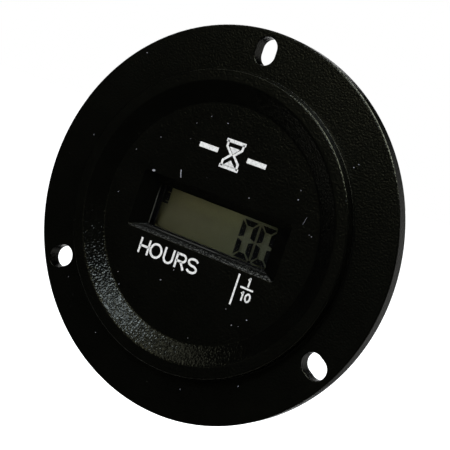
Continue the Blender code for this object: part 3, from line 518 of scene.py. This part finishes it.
def tinned_brass():
    """Tinned brass blade: satin, rolled along its length, brass showing in scattered patches."""
    finish = Finish("tinned_brass", (0.66, 0.64, 0.58), 0.34, Metallic=1.0)
    rolled = finish.noise(0.0006, 4.0, 0.65, (1, 0.08, 1))
    stain = finish.step(finish.noise(0.0022, 4.0, 0.6), 0.45, 0.75)
    tin = finish.blend(rolled, (0.56, 0.54, 0.49), (0.72, 0.70, 0.65))
    base = finish.blend(0.45 * stain, tin, (0.60, 0.47, 0.25))
    return finish.feed(Base_Color=base, Roughness=0.26 + 0.2 * rolled + 0.1 * stain,
                       Normal=finish.bump(rolled, 0.000004, 0.6))


def chip_moulding():
    """Matt black epoxy body of a chip."""
    finish = Finish("chip_moulding", (0.02, 0.02, 0.022), 0.5)
    grain = finish.noise(0.0001, 2.0)
    body = finish.blend(grain, (0.014, 0.014, 0.015), (0.03, 0.03, 0.032))
    return finish.feed(Base_Color=body, Roughness=0.5 + 0.2 * grain,
                       Normal=finish.bump(grain, 0.000008, 0.6))


def dipped_coating(name, first, second, gloss):
    """Dipped epoxy or lacquer with a slightly pitted, glossy skin."""
    finish = Finish(name, first, gloss)
    pits = finish.noise(0.0004, 3.0)
    cloud = finish.noise(0.002, 3.0)
    return finish.feed(Base_Color=finish.blend(cloud, first, second), Roughness=gloss + 0.15 * pits,
                       Normal=finish.bump(pits, 0.000012, 0.5))


def can_sleeve(middle):
    """Dark shrink sleeve of the capacitor with a pale stripe along one side."""
    finish = Finish("can_sleeve", (0.03, 0.04, 0.08), 0.35)
    _, y, z = finish.axes()
    stripe = finish.step(z, middle.z - 0.0011, middle.z - 0.0010)
    stripe = stripe * (1 - finish.step(z, middle.z + 0.0010, middle.z + 0.0011))
    stripe = stripe * finish.step(y, middle.y, middle.y + 0.0002)
    creases = finish.noise(0.0007, 3.0)
    base = finish.blend(stripe, (0.025, 0.032, 0.065), (0.42, 0.43, 0.45))
    return finish.feed(Base_Color=base, Roughness=0.28 + 0.15 * creases,
                       Normal=finish.bump(creases, 0.00001, 0.4))


def banded_resistor(middle_z):
    """Pale blue lacquer with five colour rings and bare leads beyond the body."""
    finish = Finish("banded_resistor", (0.25, 0.42, 0.48), 0.4)
    z = finish.axes()[2] - middle_z
    pits = finish.noise(0.0003)
    base = finish.blend(pits, (0.22, 0.38, 0.44), (0.28, 0.46, 0.52))
    rings = ((-0.0026, (0.20, 0.08, 0.03)), (-0.0012, (0.01, 0.01, 0.01)), (-0.0003, (0.01, 0.01, 0.01)),
             (0.0006, (0.30, 0.02, 0.01)), (0.0027, (0.12, 0.05, 0.02)))
    for offset, colour in rings:
        band = 1 - finish.step((z - offset).size(), 0.00022, 0.00027)
        base = finish.blend(band, base, colour)
    lead = finish.step(z.size(), 0.00352, 0.00356)
    base = finish.blend(lead, base, (0.60, 0.59, 0.56))
    return finish.feed(Base_Color=base, Metallic=lead, Roughness=0.3 + 0.15 * pits)


# Shapes

def finished_piece(name, bm, material):
    """Turn a bmesh into a smooth-shaded object that rides on the meter."""
    mesh = bpy.data.meshes.new(name)
    bm.to_mesh(mesh)
    bm.free()
    return dress(name, mesh, material)


def dress(name, mesh, material):
    """Put a mesh into the scene with its finish and smooth shading."""
    mesh.shade_smooth()
    mesh.set_sharp_from_angle(angle=SHARP_ANGLE)
    mesh.materials.clear()
    mesh.materials.append(material)
    piece = bpy.data.objects.new(name, mesh)
    bpy.context.scene.collection.objects.link(piece)
    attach(piece, "root")
    return piece


def even_normals(piece):
    """Keep flat faces flat beside rounded edges."""
    modifier = piece.modifiers.new("even_normals", "WEIGHTED_NORMAL")
    modifier.mode = "FACE_AREA"
    modifier.weight = 50
    modifier.keep_sharp = True


def turned(bm, profile, segments, x=0.0, z=0.0):
    """Spin a (radius, y) profile about a line along Y."""
    verts = [bm.verts.new((x + radius, y, z)) for radius, y in profile]
    edges = [bm.edges.new(pair) for pair in zip(verts, verts[1:])]
    bmesh.ops.spin(bm, geom=verts + edges, cent=(x, 0, z), axis=(0, 1, 0), angle=2 * math.pi,
                   steps=segments, use_merge=True, use_duplicate=False)
    bmesh.ops.remove_doubles(bm, verts=bm.verts, dist=MERGE_DISTANCE)
    bmesh.ops.recalc_face_normals(bm, faces=bm.faces)


def round_rim(bm, radius, y, offset):
    """Round the circular edge of a turned shape at a radius and a depth."""
    def on_rim(vert):
        return (abs(math.hypot(vert.co.x, vert.co.z) - radius) < MERGE_DISTANCE
                and abs(vert.co.y - y) < MERGE_DISTANCE)
    rim = [edge for edge in bm.edges if on_rim(edge.verts[0]) and on_rim(edge.verts[1])]
    bmesh.ops.bevel(bm, geom=rim, offset=offset, offset_type="OFFSET", segments=ROUND_SEGMENTS,
                    profile=0.5, affect="EDGES", material=-1)


def rectangle(bm, width, height, y, z, corner, steps=6):
    """Add a closed ring of edges, a rectangle with round corners in a plane y."""
    ring = []
    for turn in range(4):
        start = turn * math.pi / 2
        across = 1 if turn in (0, 3) else -1
        upward = 1 if turn in (0, 1) else -1
        for step in range(steps + 1):
            angle = start + math.pi / 2 * step / steps
            x = across * (width / 2 - corner) + corner * math.cos(angle)
            up = upward * (height / 2 - corner) + corner * math.sin(angle)
            ring.append(bm.verts.new((x, y, z + up)))
    return [bm.edges.new((a, b)) for a, b in zip(ring, ring[1:] + ring[:1])]


def loft(bm, rings):
    """Skin rings of edges and close both ends."""
    for lower, upper in zip(rings, rings[1:]):
        bmesh.ops.bridge_loops(bm, edges=lower + upper)
    bmesh.ops.contextual_create(bm, geom=rings[0])
    bmesh.ops.contextual_create(bm, geom=rings[-1])
    bmesh.ops.recalc_face_normals(bm, faces=bm.faces)


def helper(name, bm):
    """Turn a bmesh into a loose object that cuts or joins another."""
    mesh = bpy.data.meshes.new(name)
    bm.to_mesh(mesh)
    bm.free()
    loose = bpy.data.objects.new(name, mesh)
    bpy.context.scene.collection.objects.link(loose)
    return loose


def carve(bm, helpers):
    """Apply (helper, operation) pairs to a bmesh and return the finished mesh."""
    body = helper("body_in_work", bm)
    for tool, operation in helpers:
        modifier = body.modifiers.new(tool.name, "BOOLEAN")
        modifier.object = tool
        modifier.operation = operation
        modifier.solver = "EXACT"
    mesh = bpy.data.meshes.new_from_object(body.evaluated_get(bpy.context.evaluated_depsgraph_get()))
    for tool, _ in helpers:
        bpy.data.objects.remove(tool, do_unlink=True)
    bpy.data.objects.remove(body, do_unlink=True)
    return mesh


def housing_body():
    """The turned body: dial, cone, ring, flange and rear cup, with every rim rounded."""
    profile = [
        (0.0, DIAL_FRONT), (DIAL_RADIUS, DIAL_FRONT), (CONE_OUTER, RING_FRONT),
        (RING_OUTER, RING_FRONT), (RING_FOOT, FLANGE_FRONT), (FLANGE_RADIUS, FLANGE_FRONT),
        (FLANGE_RADIUS, 0.0), (CUP_RADIUS, 0.0), (CUP_RADIUS, CUP_END), (CUP_INNER, CUP_END),
        (CUP_INNER, DIAL_BACK), (0.0, DIAL_BACK),
    ]
    bm = bmesh.new()
    turned(bm, profile, BODY_SEGMENTS)
    rims = [
        (DIAL_RADIUS, DIAL_FRONT, "dial"), (CONE_OUTER, RING_FRONT, "ring"),
        (RING_OUTER, RING_FRONT, "ring"), (RING_FOOT, FLANGE_FRONT, "ring foot"),
        (FLANGE_RADIUS, FLANGE_FRONT, "flange front"), (FLANGE_RADIUS, 0.0, "flange back"),
        (CUP_RADIUS, 0.0, "cup"), (CUP_RADIUS, CUP_END, "cup"), (CUP_INNER, CUP_END, "cup"),
    ]
    for radius, y, name in rims:
        round_rim(bm, radius, y, ROUNDS[name])
    return bm


def bolt_slot_cutter():
    """Three short slots that point out from the axis, their mouths flared in a small round."""
    flare = ROUNDS["slot"]
    beyond = 0.001
    steps = 4
    stations = [(flare, FLANGE_FRONT - beyond)]
    for step in range(steps + 1):
        angle = math.pi / 2 * step / steps
        stations.append((flare * (1 - math.sin(angle)), FLANGE_FRONT + flare * (1 - math.cos(angle))))
    stations += [(grow, FLANGE_FRONT - y) for grow, y in reversed(stations)]
    bm = bmesh.new()
    for index in range(BOLT_SLOT_COUNT):
        slot = bmesh.new()
        rings = []
        for grow, y in stations:
            size = (BOLT_SLOT_LENGTH + 2 * grow, BOLT_SLOT_WIDTH + 2 * grow)
            rings.append(rectangle(slot, *size, y, 0.0, 0.499 * size[1], 12))
        loft(slot, rings)
        outward = math.pi / 2 + 2 * math.pi * index / BOLT_SLOT_COUNT
        place = Matrix.Rotation(-outward, 4, "Y") @ Matrix.Translation((BOLT_CIRCLE_RADIUS, 0, 0))
        bmesh.ops.transform(slot, matrix=place, verts=slot.verts)
        mesh = bpy.data.meshes.new("slot")
        slot.to_mesh(mesh)
        slot.free()
        bm.from_mesh(mesh)
        bpy.data.meshes.remove(mesh)
    return helper("bolt_slots", bm)


def window_cutter():
    """Recess with four sloped sides, rounded in at the dial, and a short land at the window."""
    width = WINDOW_WIDTH + 2 * SLOPE_SIDE
    height = WINDOW_HEIGHT + SLOPE_TOP + SLOPE_BOTTOM
    middle = WINDOW_Z + (SLOPE_TOP - SLOPE_BOTTOM) / 2
    lip = ROUNDS["window"]
    beyond = 0.002
    bm = bmesh.new()
    rings = [rectangle(bm, width + 2 * lip, height + 2 * lip, DIAL_FRONT - beyond, middle, 0.0008)]
    for grow, deep in ((1.0, 0.0), (0.55, 0.1), (0.2, 0.3), (0.0, 0.6)):
        rings.append(rectangle(bm, width + 2 * lip * grow, height + 2 * lip * grow,
                               DIAL_FRONT + lip * deep, middle, SLOPE_CORNER + lip * grow))
    for y in (SLOPE_END, DIAL_BACK + beyond):
        rings.append(rectangle(bm, WINDOW_WIDTH, WINDOW_HEIGHT, y, WINDOW_Z, WINDOW_CORNER))
    loft(bm, rings)
    return helper("window_opening", bm)


def pocket_cutter():
    """Seat for the lens in the back of the dial."""
    size = (WINDOW_WIDTH + 2 * POCKET_BORDER, WINDOW_HEIGHT + 2 * POCKET_BORDER)
    bm = bmesh.new()
    ends = (POCKET_FRONT, POCKET_BACK)
    loft(bm, [rectangle(bm, *size, y, WINDOW_Z, POCKET_CORNER) for y in ends])
    return helper("lens_pocket", bm)


def screw_posts():
    """Four posts with blind holes behind the dial, in line with the board's screws."""
    profile = [(0.0, POST_ROOT), (POST_RADIUS, POST_ROOT), (POST_RADIUS, POST_END),
               (POST_PILOT, POST_END), (POST_PILOT, POST_PILOT_END), (0.0, POST_PILOT_END)]
    bm = bmesh.new()
    for index in range(1, 5):
        low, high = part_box(f"board_screw_{index}")
        middle = (low + high) / 2
        turned(bm, profile, POST_SEGMENTS, middle.x, middle.z)
    return helper("screw_posts", bm)


def housing(material):
    """The moulded housing, finer than its solid."""
    helpers = [(screw_posts(), "UNION"), (bolt_slot_cutter(), "DIFFERENCE"),
               (window_cutter(), "DIFFERENCE"), (pocket_cutter(), "DIFFERENCE")]
    mesh = carve(housing_body(), helpers)
    bm = bmesh.new()
    bm.from_mesh(mesh)
    bmesh.ops.remove_doubles(bm, verts=bm.verts, dist=MERGE_DISTANCE)
    bm.to_mesh(mesh)
    bm.free()
    piece = dress("housing_shell", mesh, material)
    even_normals(piece)
    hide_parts("housing")


def smooth_copy(node, name, material, edge=0.0):
    """Stand a merged, smoothly shaded copy in for a node, its sharp edges broken if asked."""
    bm = bmesh.new()
    bm.from_mesh(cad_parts[node].data)
    bmesh.ops.remove_doubles(bm, verts=bm.verts, dist=MERGE_DISTANCE)
    bmesh.ops.dissolve_limit(bm, angle_limit=math.radians(0.5), verts=bm.verts, edges=bm.edges)
    if edge:
        sharp = [e for e in bm.edges if len(e.link_faces) == 2 and e.calc_face_angle() > SHARP_ANGLE]
        bmesh.ops.bevel(bm, geom=sharp, offset=edge, offset_type="OFFSET", segments=2, profile=0.5,
                        affect="EDGES", material=-1, clamp_overlap=True)
    piece = finished_piece(name, bm, material)
    even_normals(piece)
    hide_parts(node)
    return piece


# Print and digits

def stroke(bm, path, width, front, closed=False):
    """Lay a flat strip of ink along a path in the plane of the dial."""
    points = [Vector((x, z)) for x, z in path]
    count = len(points)
    rings = []
    for index, point in enumerate(points):
        ahead = points[(index + 1) % count] - point
        behind = point - points[index - 1]
        if not closed and index == 0:
            behind = ahead
        if not closed and index == count - 1:
            ahead = behind
        ahead.normalize()
        behind.normalize()
        along = (ahead + behind).normalized()
        side = Vector((-along.y, along.x)) * (width / 2 / max(along.dot(ahead), 0.5))
        corners = [(point + side, front), (point - side, front),
                   (point - side, front + PRINT_THICKNESS), (point + side, front + PRINT_THICKNESS)]
        verts = [bm.verts.new((flat.x, y, flat.y)) for flat, y in corners]
        rings.append([bm.edges.new((a, b)) for a, b in zip(verts, verts[1:] + verts[:1])])
    pairs = list(zip(rings, rings[1:]))
    if closed:
        pairs.append((rings[-1], rings[0]))
    for lower, upper in pairs:
        bmesh.ops.bridge_loops(bm, edges=lower + upper)
    if not closed:
        bmesh.ops.contextual_create(bm, geom=rings[0])
        bmesh.ops.contextual_create(bm, geom=rings[-1])


def arc(centre, reach, start, end, steps=14):
    """Points on an ellipse between two angles in degrees."""
    points = []
    for step in range(steps + 1):
        angle = math.radians(start + (end - start) * step / steps)
        points.append((centre[0] + reach[0] * math.cos(angle), centre[1] + reach[1] * math.sin(angle)))
    return points


def letter_strokes(letter, width, height, pen):
    """Centre lines of one letter in a box, each with whether it is closed."""
    left, right = pen / 2, width - pen / 2
    low, high = pen / 2, height - pen / 2
    middle = height / 2
    across, upward = (right - left) / 2, (high - low) / 2
    centre = width / 2
    if letter == "H":
        return [([(left, 0), (left, height)], False), ([(right, 0), (right, height)], False),
                ([(left, middle), (right, middle)], False)]
    if letter in "O0":
        return [(arc((centre, middle), (across, upward), 0, 360, 40)[:-1], True)]
    if letter == "U":
        bowl = arc((centre, low + across), (across, across), 180, 360)
        return [([(left, height)] + bowl + [(right, height)], False)]
    if letter == "R":
        reach = (height - pen) * 0.265
        bowl = arc((right - reach, high - reach), (reach, reach), 90, -90)
        top = [(left, high)] + bowl + [(left, high - 2 * reach)]
        leg = [(centre, high - 2 * reach), (right + pen / 8, 0)]
        return [([(left, 0), (left, height)], False), (top, False), (leg, False)]
    if letter == "S":
        reach = (across, upward / 2)
        upper = arc((centre, high - reach[1]), reach, 20, 270)
        lower = arc((centre, low + reach[1]), reach, 90, -160)
        return [(upper + lower[1:], False)]
    if letter == "1":
        stem = width - pen / 2
        return [([(stem, 0), (stem, height)], False),
                ([(left, height * 0.72), (stem, height - pen / 2)], False)]
    raise ValueError(letter)


def hour_glass(bm, x, z, front):
    """Plain sand-glass sign: two bars, the outline of the glass and the sand."""
    half, tall, pen = GLASS_HALF_WIDTH, GLASS_HALF_HEIGHT, GLASS_STROKE
    for side in (-1, 1):
        bar = [(x - half - pen, z + side * tall), (x + half + pen, z + side * tall)]
        stroke(bm, bar, GLASS_BAR_STROKE, front)
        stroke(bm, [(x + side * half, z + tall), (x + side * half, z + tall * 0.55),
                    (x + side * GLASS_HALF_NECK, z), (x + side * half, z - tall * 0.55),
                    (x + side * half, z - tall)], pen, front)
    for level in range(SAND_LAYERS):
        drop = tall * (0.50 - level * 0.09)
        reach = half * (0.62 - level * 0.13)
        stroke(bm, [(x - reach, z + drop), (x + reach, z + drop)], SAND_STROKE, front)
        heap = -tall * 0.86 + level * 0.00022
        spread = half * (0.72 - level * 0.15)
        stroke(bm, [(x - spread, z + heap), (x + spread, z + heap)], SAND_STROKE, front)


def dial_print(material):
    """White print: the word HOURS, the tenths mark, and the sign above the window."""
    bm = bmesh.new()
    for letter, left, width in LETTERS:
        for path, closed in letter_strokes(letter, width, LETTER_HEIGHT, LETTER_STROKE):
            moved = [(left + x, LETTER_BASE + z) for x, z in path]
            stroke(bm, moved, LETTER_STROKE, PRINT_FRONT, closed)
    for figure, left, width, base in FIGURES:
        for path, closed in letter_strokes(figure, width, SMALL_HEIGHT, SMALL_STROKE):
            moved = [(left + x, base + z) for x, z in path]
            stroke(bm, moved, SMALL_STROKE, PRINT_FRONT, closed)
    stroke(bm, FRACTION_BAR, FRACTION_BAR_STROKE, PRINT_FRONT)
    stroke(bm, TENTHS_RULE, TENTHS_RULE_STROKE, PRINT_FRONT)
    bmesh.ops.recalc_face_normals(bm, faces=bm.faces)
    finished_piece("dial_lettering", bm, material)
    bm = bmesh.new()
    hour_glass(bm, SIGN_X, SIGN_Z, PRINT_FRONT)
    for side in (-1, 1):
        start = SIGN_X + side * DASH_START
        stroke(bm, [(start, SIGN_Z), (start + side * DASH_LENGTH, SIGN_Z)], DASH_STROKE, PRINT_FRONT)
    bmesh.ops.recalc_face_normals(bm, faces=bm.faces)
    finished_piece("hour_glass_sign", bm, material)


def prism(bm, outline, front, thickness):
    """Raise a flat outline in a plane y into a thin solid."""
    face = bm.faces.new([bm.verts.new((x, front, z)) for x, z in outline])
    grown = bmesh.ops.extrude_face_region(bm, geom=[face])
    moved = [item for item in grown["geom"] if isinstance(item, bmesh.types.BMVert)]
    bmesh.ops.translate(bm, verts=moved, vec=(0, thickness, 0))


def digit_segments(left):
    """Outlines of the six lit segments of a nought, mitred where they meet."""
    right = left + DIGIT_WIDTH
    bottom, top = DIGIT_BOTTOM, DIGIT_BOTTOM + DIGIT_HEIGHT
    middle = (bottom + top) / 2
    pen, gap = SEGMENT_STROKE, SEGMENT_GAP
    notch = pen * 0.35
    outlines = []
    for side, inward in ((left, 1), (right, -1)):
        inner = side + inward * pen
        outlines.append([(side, top - 2.2 * gap), (inner, top - pen - 1.6 * gap),
                         (inner, middle + gap + notch), (side, middle + gap)])
        outlines.append([(side, middle - gap), (inner, middle - gap - notch),
                         (inner, bottom + pen + 1.6 * gap), (side, bottom + 2.2 * gap)])
    outlines.append([(left + 2 * gap, top), (right - 2 * gap, top),
                     (right - pen - gap, top - pen), (left + pen + gap, top - pen)])
    outlines.append([(left + 2 * gap, bottom), (left + pen + gap, bottom + pen),
                     (right - pen - gap, bottom + pen), (right - 2 * gap, bottom)])
    return outlines


def display_digits(material):
    """Two noughts, the point between them and the sand-glass mark at the upper left."""
    front = (front_glass_high.y + rear_glass_low.y) / 2 - SEGMENT_THICKNESS / 2
    bm = bmesh.new()
    for left in DIGIT_LEFTS:
        for outline in digit_segments(left):
            prism(bm, outline, front, SEGMENT_THICKNESS)
    for left, right, low, high in SMALL_MARKS:
        prism(bm, [(left, low), (right, low), (right, high), (left, high)], front, SEGMENT_THICKNESS)
    bmesh.ops.recalc_face_normals(bm, faces=bm.faces)
    finished_piece("display_digits", bm, material)


def lint(material):
    """Specks and short fibres that lie on the dial and the flange, where the photograph has them."""
    chance = random.Random(7)
    resting = [(speck, PRINT_FRONT) for speck in DIAL_SPECKS]
    resting += [(speck, FLANGE_FRONT - PRINT_LIFT - PRINT_THICKNESS) for speck in FLANGE_SPECKS]
    bm = bmesh.new()
    for (x, z, size, turn), depth in resting:
        outline = []
        for corner in range(SPECK_CORNERS):
            angle = 2 * math.pi * corner / SPECK_CORNERS
            reach = size * chance.uniform(0.75, 1.0)
            across, upward = reach * math.cos(angle), 0.6 * reach * math.sin(angle)
            outline.append((x + across * math.cos(turn) - upward * math.sin(turn),
                            z + across * math.sin(turn) + upward * math.cos(turn)))
        prism(bm, outline, depth, PRINT_THICKNESS)
    for width, path in FIBRES:
        stroke(bm, path, width, PRINT_FRONT)
    bmesh.ops.recalc_face_normals(bm, faces=bm.faces)
    finished_piece("dial_lint", bm, material)


# Scene

def look_through_camera():
    """Camera at the photograph's angle, rolled as it was held."""
    side = Vector((math.cos(CAMERA_AZIMUTH), math.sin(CAMERA_AZIMUTH), 0.0))
    forward = Vector((-math.sin(CAMERA_AZIMUTH) * math.cos(CAMERA_ELEVATION),
                      math.cos(CAMERA_AZIMUTH) * math.cos(CAMERA_ELEVATION),
                      -math.sin(CAMERA_ELEVATION)))
    upward = side.cross(forward)
    rolled_side = side * math.cos(CAMERA_ROLL) + upward * math.sin(CAMERA_ROLL)
    rolled_up = upward * math.cos(CAMERA_ROLL) - side * math.sin(CAMERA_ROLL)
    place = Vector((0, FLANGE_FRONT, 0)) - forward * CAMERA_DISTANCE
    place += rolled_side * CAMERA_ASIDE + rolled_up * CAMERA_RISE
    camera = bpy.data.objects.new("camera", bpy.data.cameras.new("camera"))
    camera.data.sensor_width = SENSOR_WIDTH
    camera.data.lens = CAMERA_LENS
    camera.data.clip_start = 0.01
    turn = Matrix((rolled_side, rolled_up, -forward)).transposed()
    camera.matrix_world = Matrix.Translation(place) @ turn.to_4x4()
    bpy.context.scene.collection.objects.link(camera)
    bpy.context.scene.camera = camera


def area_lamp(name, azimuth, elevation, size, power, colour):
    """Soft box aimed at the meter from an azimuth and an elevation in degrees."""
    lamp = bpy.data.lights.new(name, "AREA")
    lamp.shape = "DISK"
    lamp.size = size
    lamp.energy = power
    lamp.color = colour
    turn, rise = math.radians(azimuth), math.radians(elevation)
    toward = Vector((math.sin(turn) * math.cos(rise), -math.cos(turn) * math.cos(rise), math.sin(rise)))
    obj = bpy.data.objects.new(name, lamp)
    obj.rotation_mode = "QUATERNION"
    obj.rotation_quaternion = toward.to_track_quat("Z", "Y")
    obj.location = toward * LAMP_DISTANCE
    bpy.context.scene.collection.objects.link(obj)


def light_the_room():
    """Soft even light from all round, with a white background."""
    world = bpy.data.worlds.new("studio")
    bpy.context.scene.world = world
    world.use_nodes = True
    room = Wiring(world.node_tree)
    soft = room.tree.nodes["Background"]
    room.join(WORLD_COLOUR, soft.inputs["Color"])
    room.join(WORLD_STRENGTH, soft.inputs["Strength"])
    white = room.node("ShaderNodeBackground", inputs={"Color": (1.0, 1.0, 1.0)})
    sorts = {0: room.seen_directly(), 1: Wire(room, soft.outputs[0]), 2: white}
    room.join(room.node("ShaderNodeMixShader", inputs=sorts),
              room.tree.nodes["World Output"].inputs["Surface"])


def pale_floor():
    """Wide pale floor well below the meter; it shows white and keeps the shadow."""
    bm = bmesh.new()
    bmesh.ops.create_grid(bm, x_segments=1, y_segments=1, size=FLOOR_HALF_WIDTH)
    bmesh.ops.translate(bm, verts=bm.verts, vec=(0, 0, FLOOR_Z))
    floor = helper("floor", bm)
    matt = Finish("pale_floor", (0.55, 0.55, 0.55), 1.0, Specular_IOR_Level=0.0)
    glow = matt.node("ShaderNodeEmission", inputs={"Strength": FLOOR_GLOW * matt.seen_directly()})
    both = matt.node("ShaderNodeAddShader", inputs={0: Wire(matt, matt.shader.outputs[0]), 1: glow})
    matt.join(both, matt.tree.nodes["Material Output"].inputs["Surface"])
    floor.data.materials.append(matt.material)
    floor.visible_glossy = False


def dim_tent():
    """Dim tent that only gloss sees, open toward the white backdrop and paler beside the opening."""
    bm = bmesh.new()
    bmesh.ops.create_uvsphere(bm, u_segments=96, v_segments=48, radius=TENT_RADIUS)
    everything = list(bm.verts) + list(bm.edges) + list(bm.faces)
    bmesh.ops.bisect_plane(bm, geom=everything, dist=MERGE_DISTANCE, clear_outer=True,
                           plane_co=BACKDROP_SIDE * TENT_RADIUS * TENT_CUT, plane_no=BACKDROP_SIDE)
    tent = helper("dim_tent", bm)
    cloth = Finish("tent_cloth", (0.0, 0.0, 0.0), 1.0, Specular_IOR_Level=0.0, Emission_Strength=1.0)
    toward = cloth.node("ShaderNodeVectorMath", {"operation": "DOT_PRODUCT"},
                        {0: cloth.place(), 1: BRIGHT_SIDE}, output="Value")
    glow = 0.30 * cloth.step(toward, 0.70 * TENT_RADIUS, 0.99 * TENT_RADIUS)
    _, far, height = cloth.axes()
    table = 1 - cloth.step(far.size(), 0.05 * TENT_RADIUS, 0.12 * TENT_RADIUS)
    glow = glow + 0.8 * table * (1 - cloth.step(height, -0.55 * TENT_RADIUS, -0.20 * TENT_RADIUS))
    level = cloth.node("ShaderNodeCombineColor", inputs={0: glow, 1: glow, 2: glow})
    tent.data.materials.append(cloth.feed(Emission_Color=level))
    tent.visible_camera = False
    tent.visible_diffuse = False
    tent.visible_transmission = False
    tent.visible_volume_scatter = False
    tent.visible_shadow = False


bpy.context.scene.view_settings.view_transform = "Standard"
bpy.context.scene.cycles.transparent_max_bounces = 16
look_through_camera()
light_the_room()
pale_floor()
dim_tent()
for lamp in LAMPS:
    area_lamp(*lamp)

glass = display_glass()
steel = plated_steel()
brass = tinned_brass()
epoxy = chip_moulding()

housing(grained_moulding())
dial_print(white_print())
display_digits(display_ink())
lint(lint_white())
smooth_copy("rear_cover", "cover_shell", smooth_moulding("cover_plastic", 0.012))
smooth_copy("lcd_holder", "holder_frame", smooth_moulding("holder_plastic", 0.002))
for side in ("left", "right"):
    smooth_copy(f"terminal_{side}", f"blade_{side}", brass, 0.00007)

capacitor_low, capacitor_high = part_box("smoothing_capacitor")
capacitor_middle = (capacitor_low + capacitor_high) / 2
resistor_low, resistor_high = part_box("dropping_resistor_left")
resistor_middle = (resistor_low + resistor_high) / 2
NODE_FINISHES = {
    "window_lens": clear_window(),
    "lcd_front_polarizer": polariser_film(),
    "lcd_front_glass": glass,
    "lcd_rear_glass": glass,
    "lcd_reflector": olive_reflector(),
    "zebra_strip_upper": contact_rubber(),
    "zebra_strip_lower": contact_rubber(),
    "circuit_board": green_laminate(),
    "lithium_cell": steel,
    "cell_tab_negative": steel,
    "cell_tab_positive": steel,
    "quartz_crystal": steel,
    "bridge_rectifier": epoxy,
    "optocoupler": epoxy,
    "microcontroller": epoxy,
    "varistor": dipped_coating("blue_coating", (0.025, 0.09, 0.30), (0.04, 0.12, 0.36), 0.28),
    "smoothing_capacitor": can_sleeve(capacitor_middle),
    "dropping_resistor_left": banded_resistor(resistor_middle.z),
    "dropping_resistor_right": banded_resistor(resistor_middle.z),
}
for index in range(1, 5):
    NODE_FINISHES[f"board_screw_{index}"] = steel
for name, material in NODE_FINISHES.items():
    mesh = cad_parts[name].data
    mesh.materials.clear()
    mesh.materials.append(material)
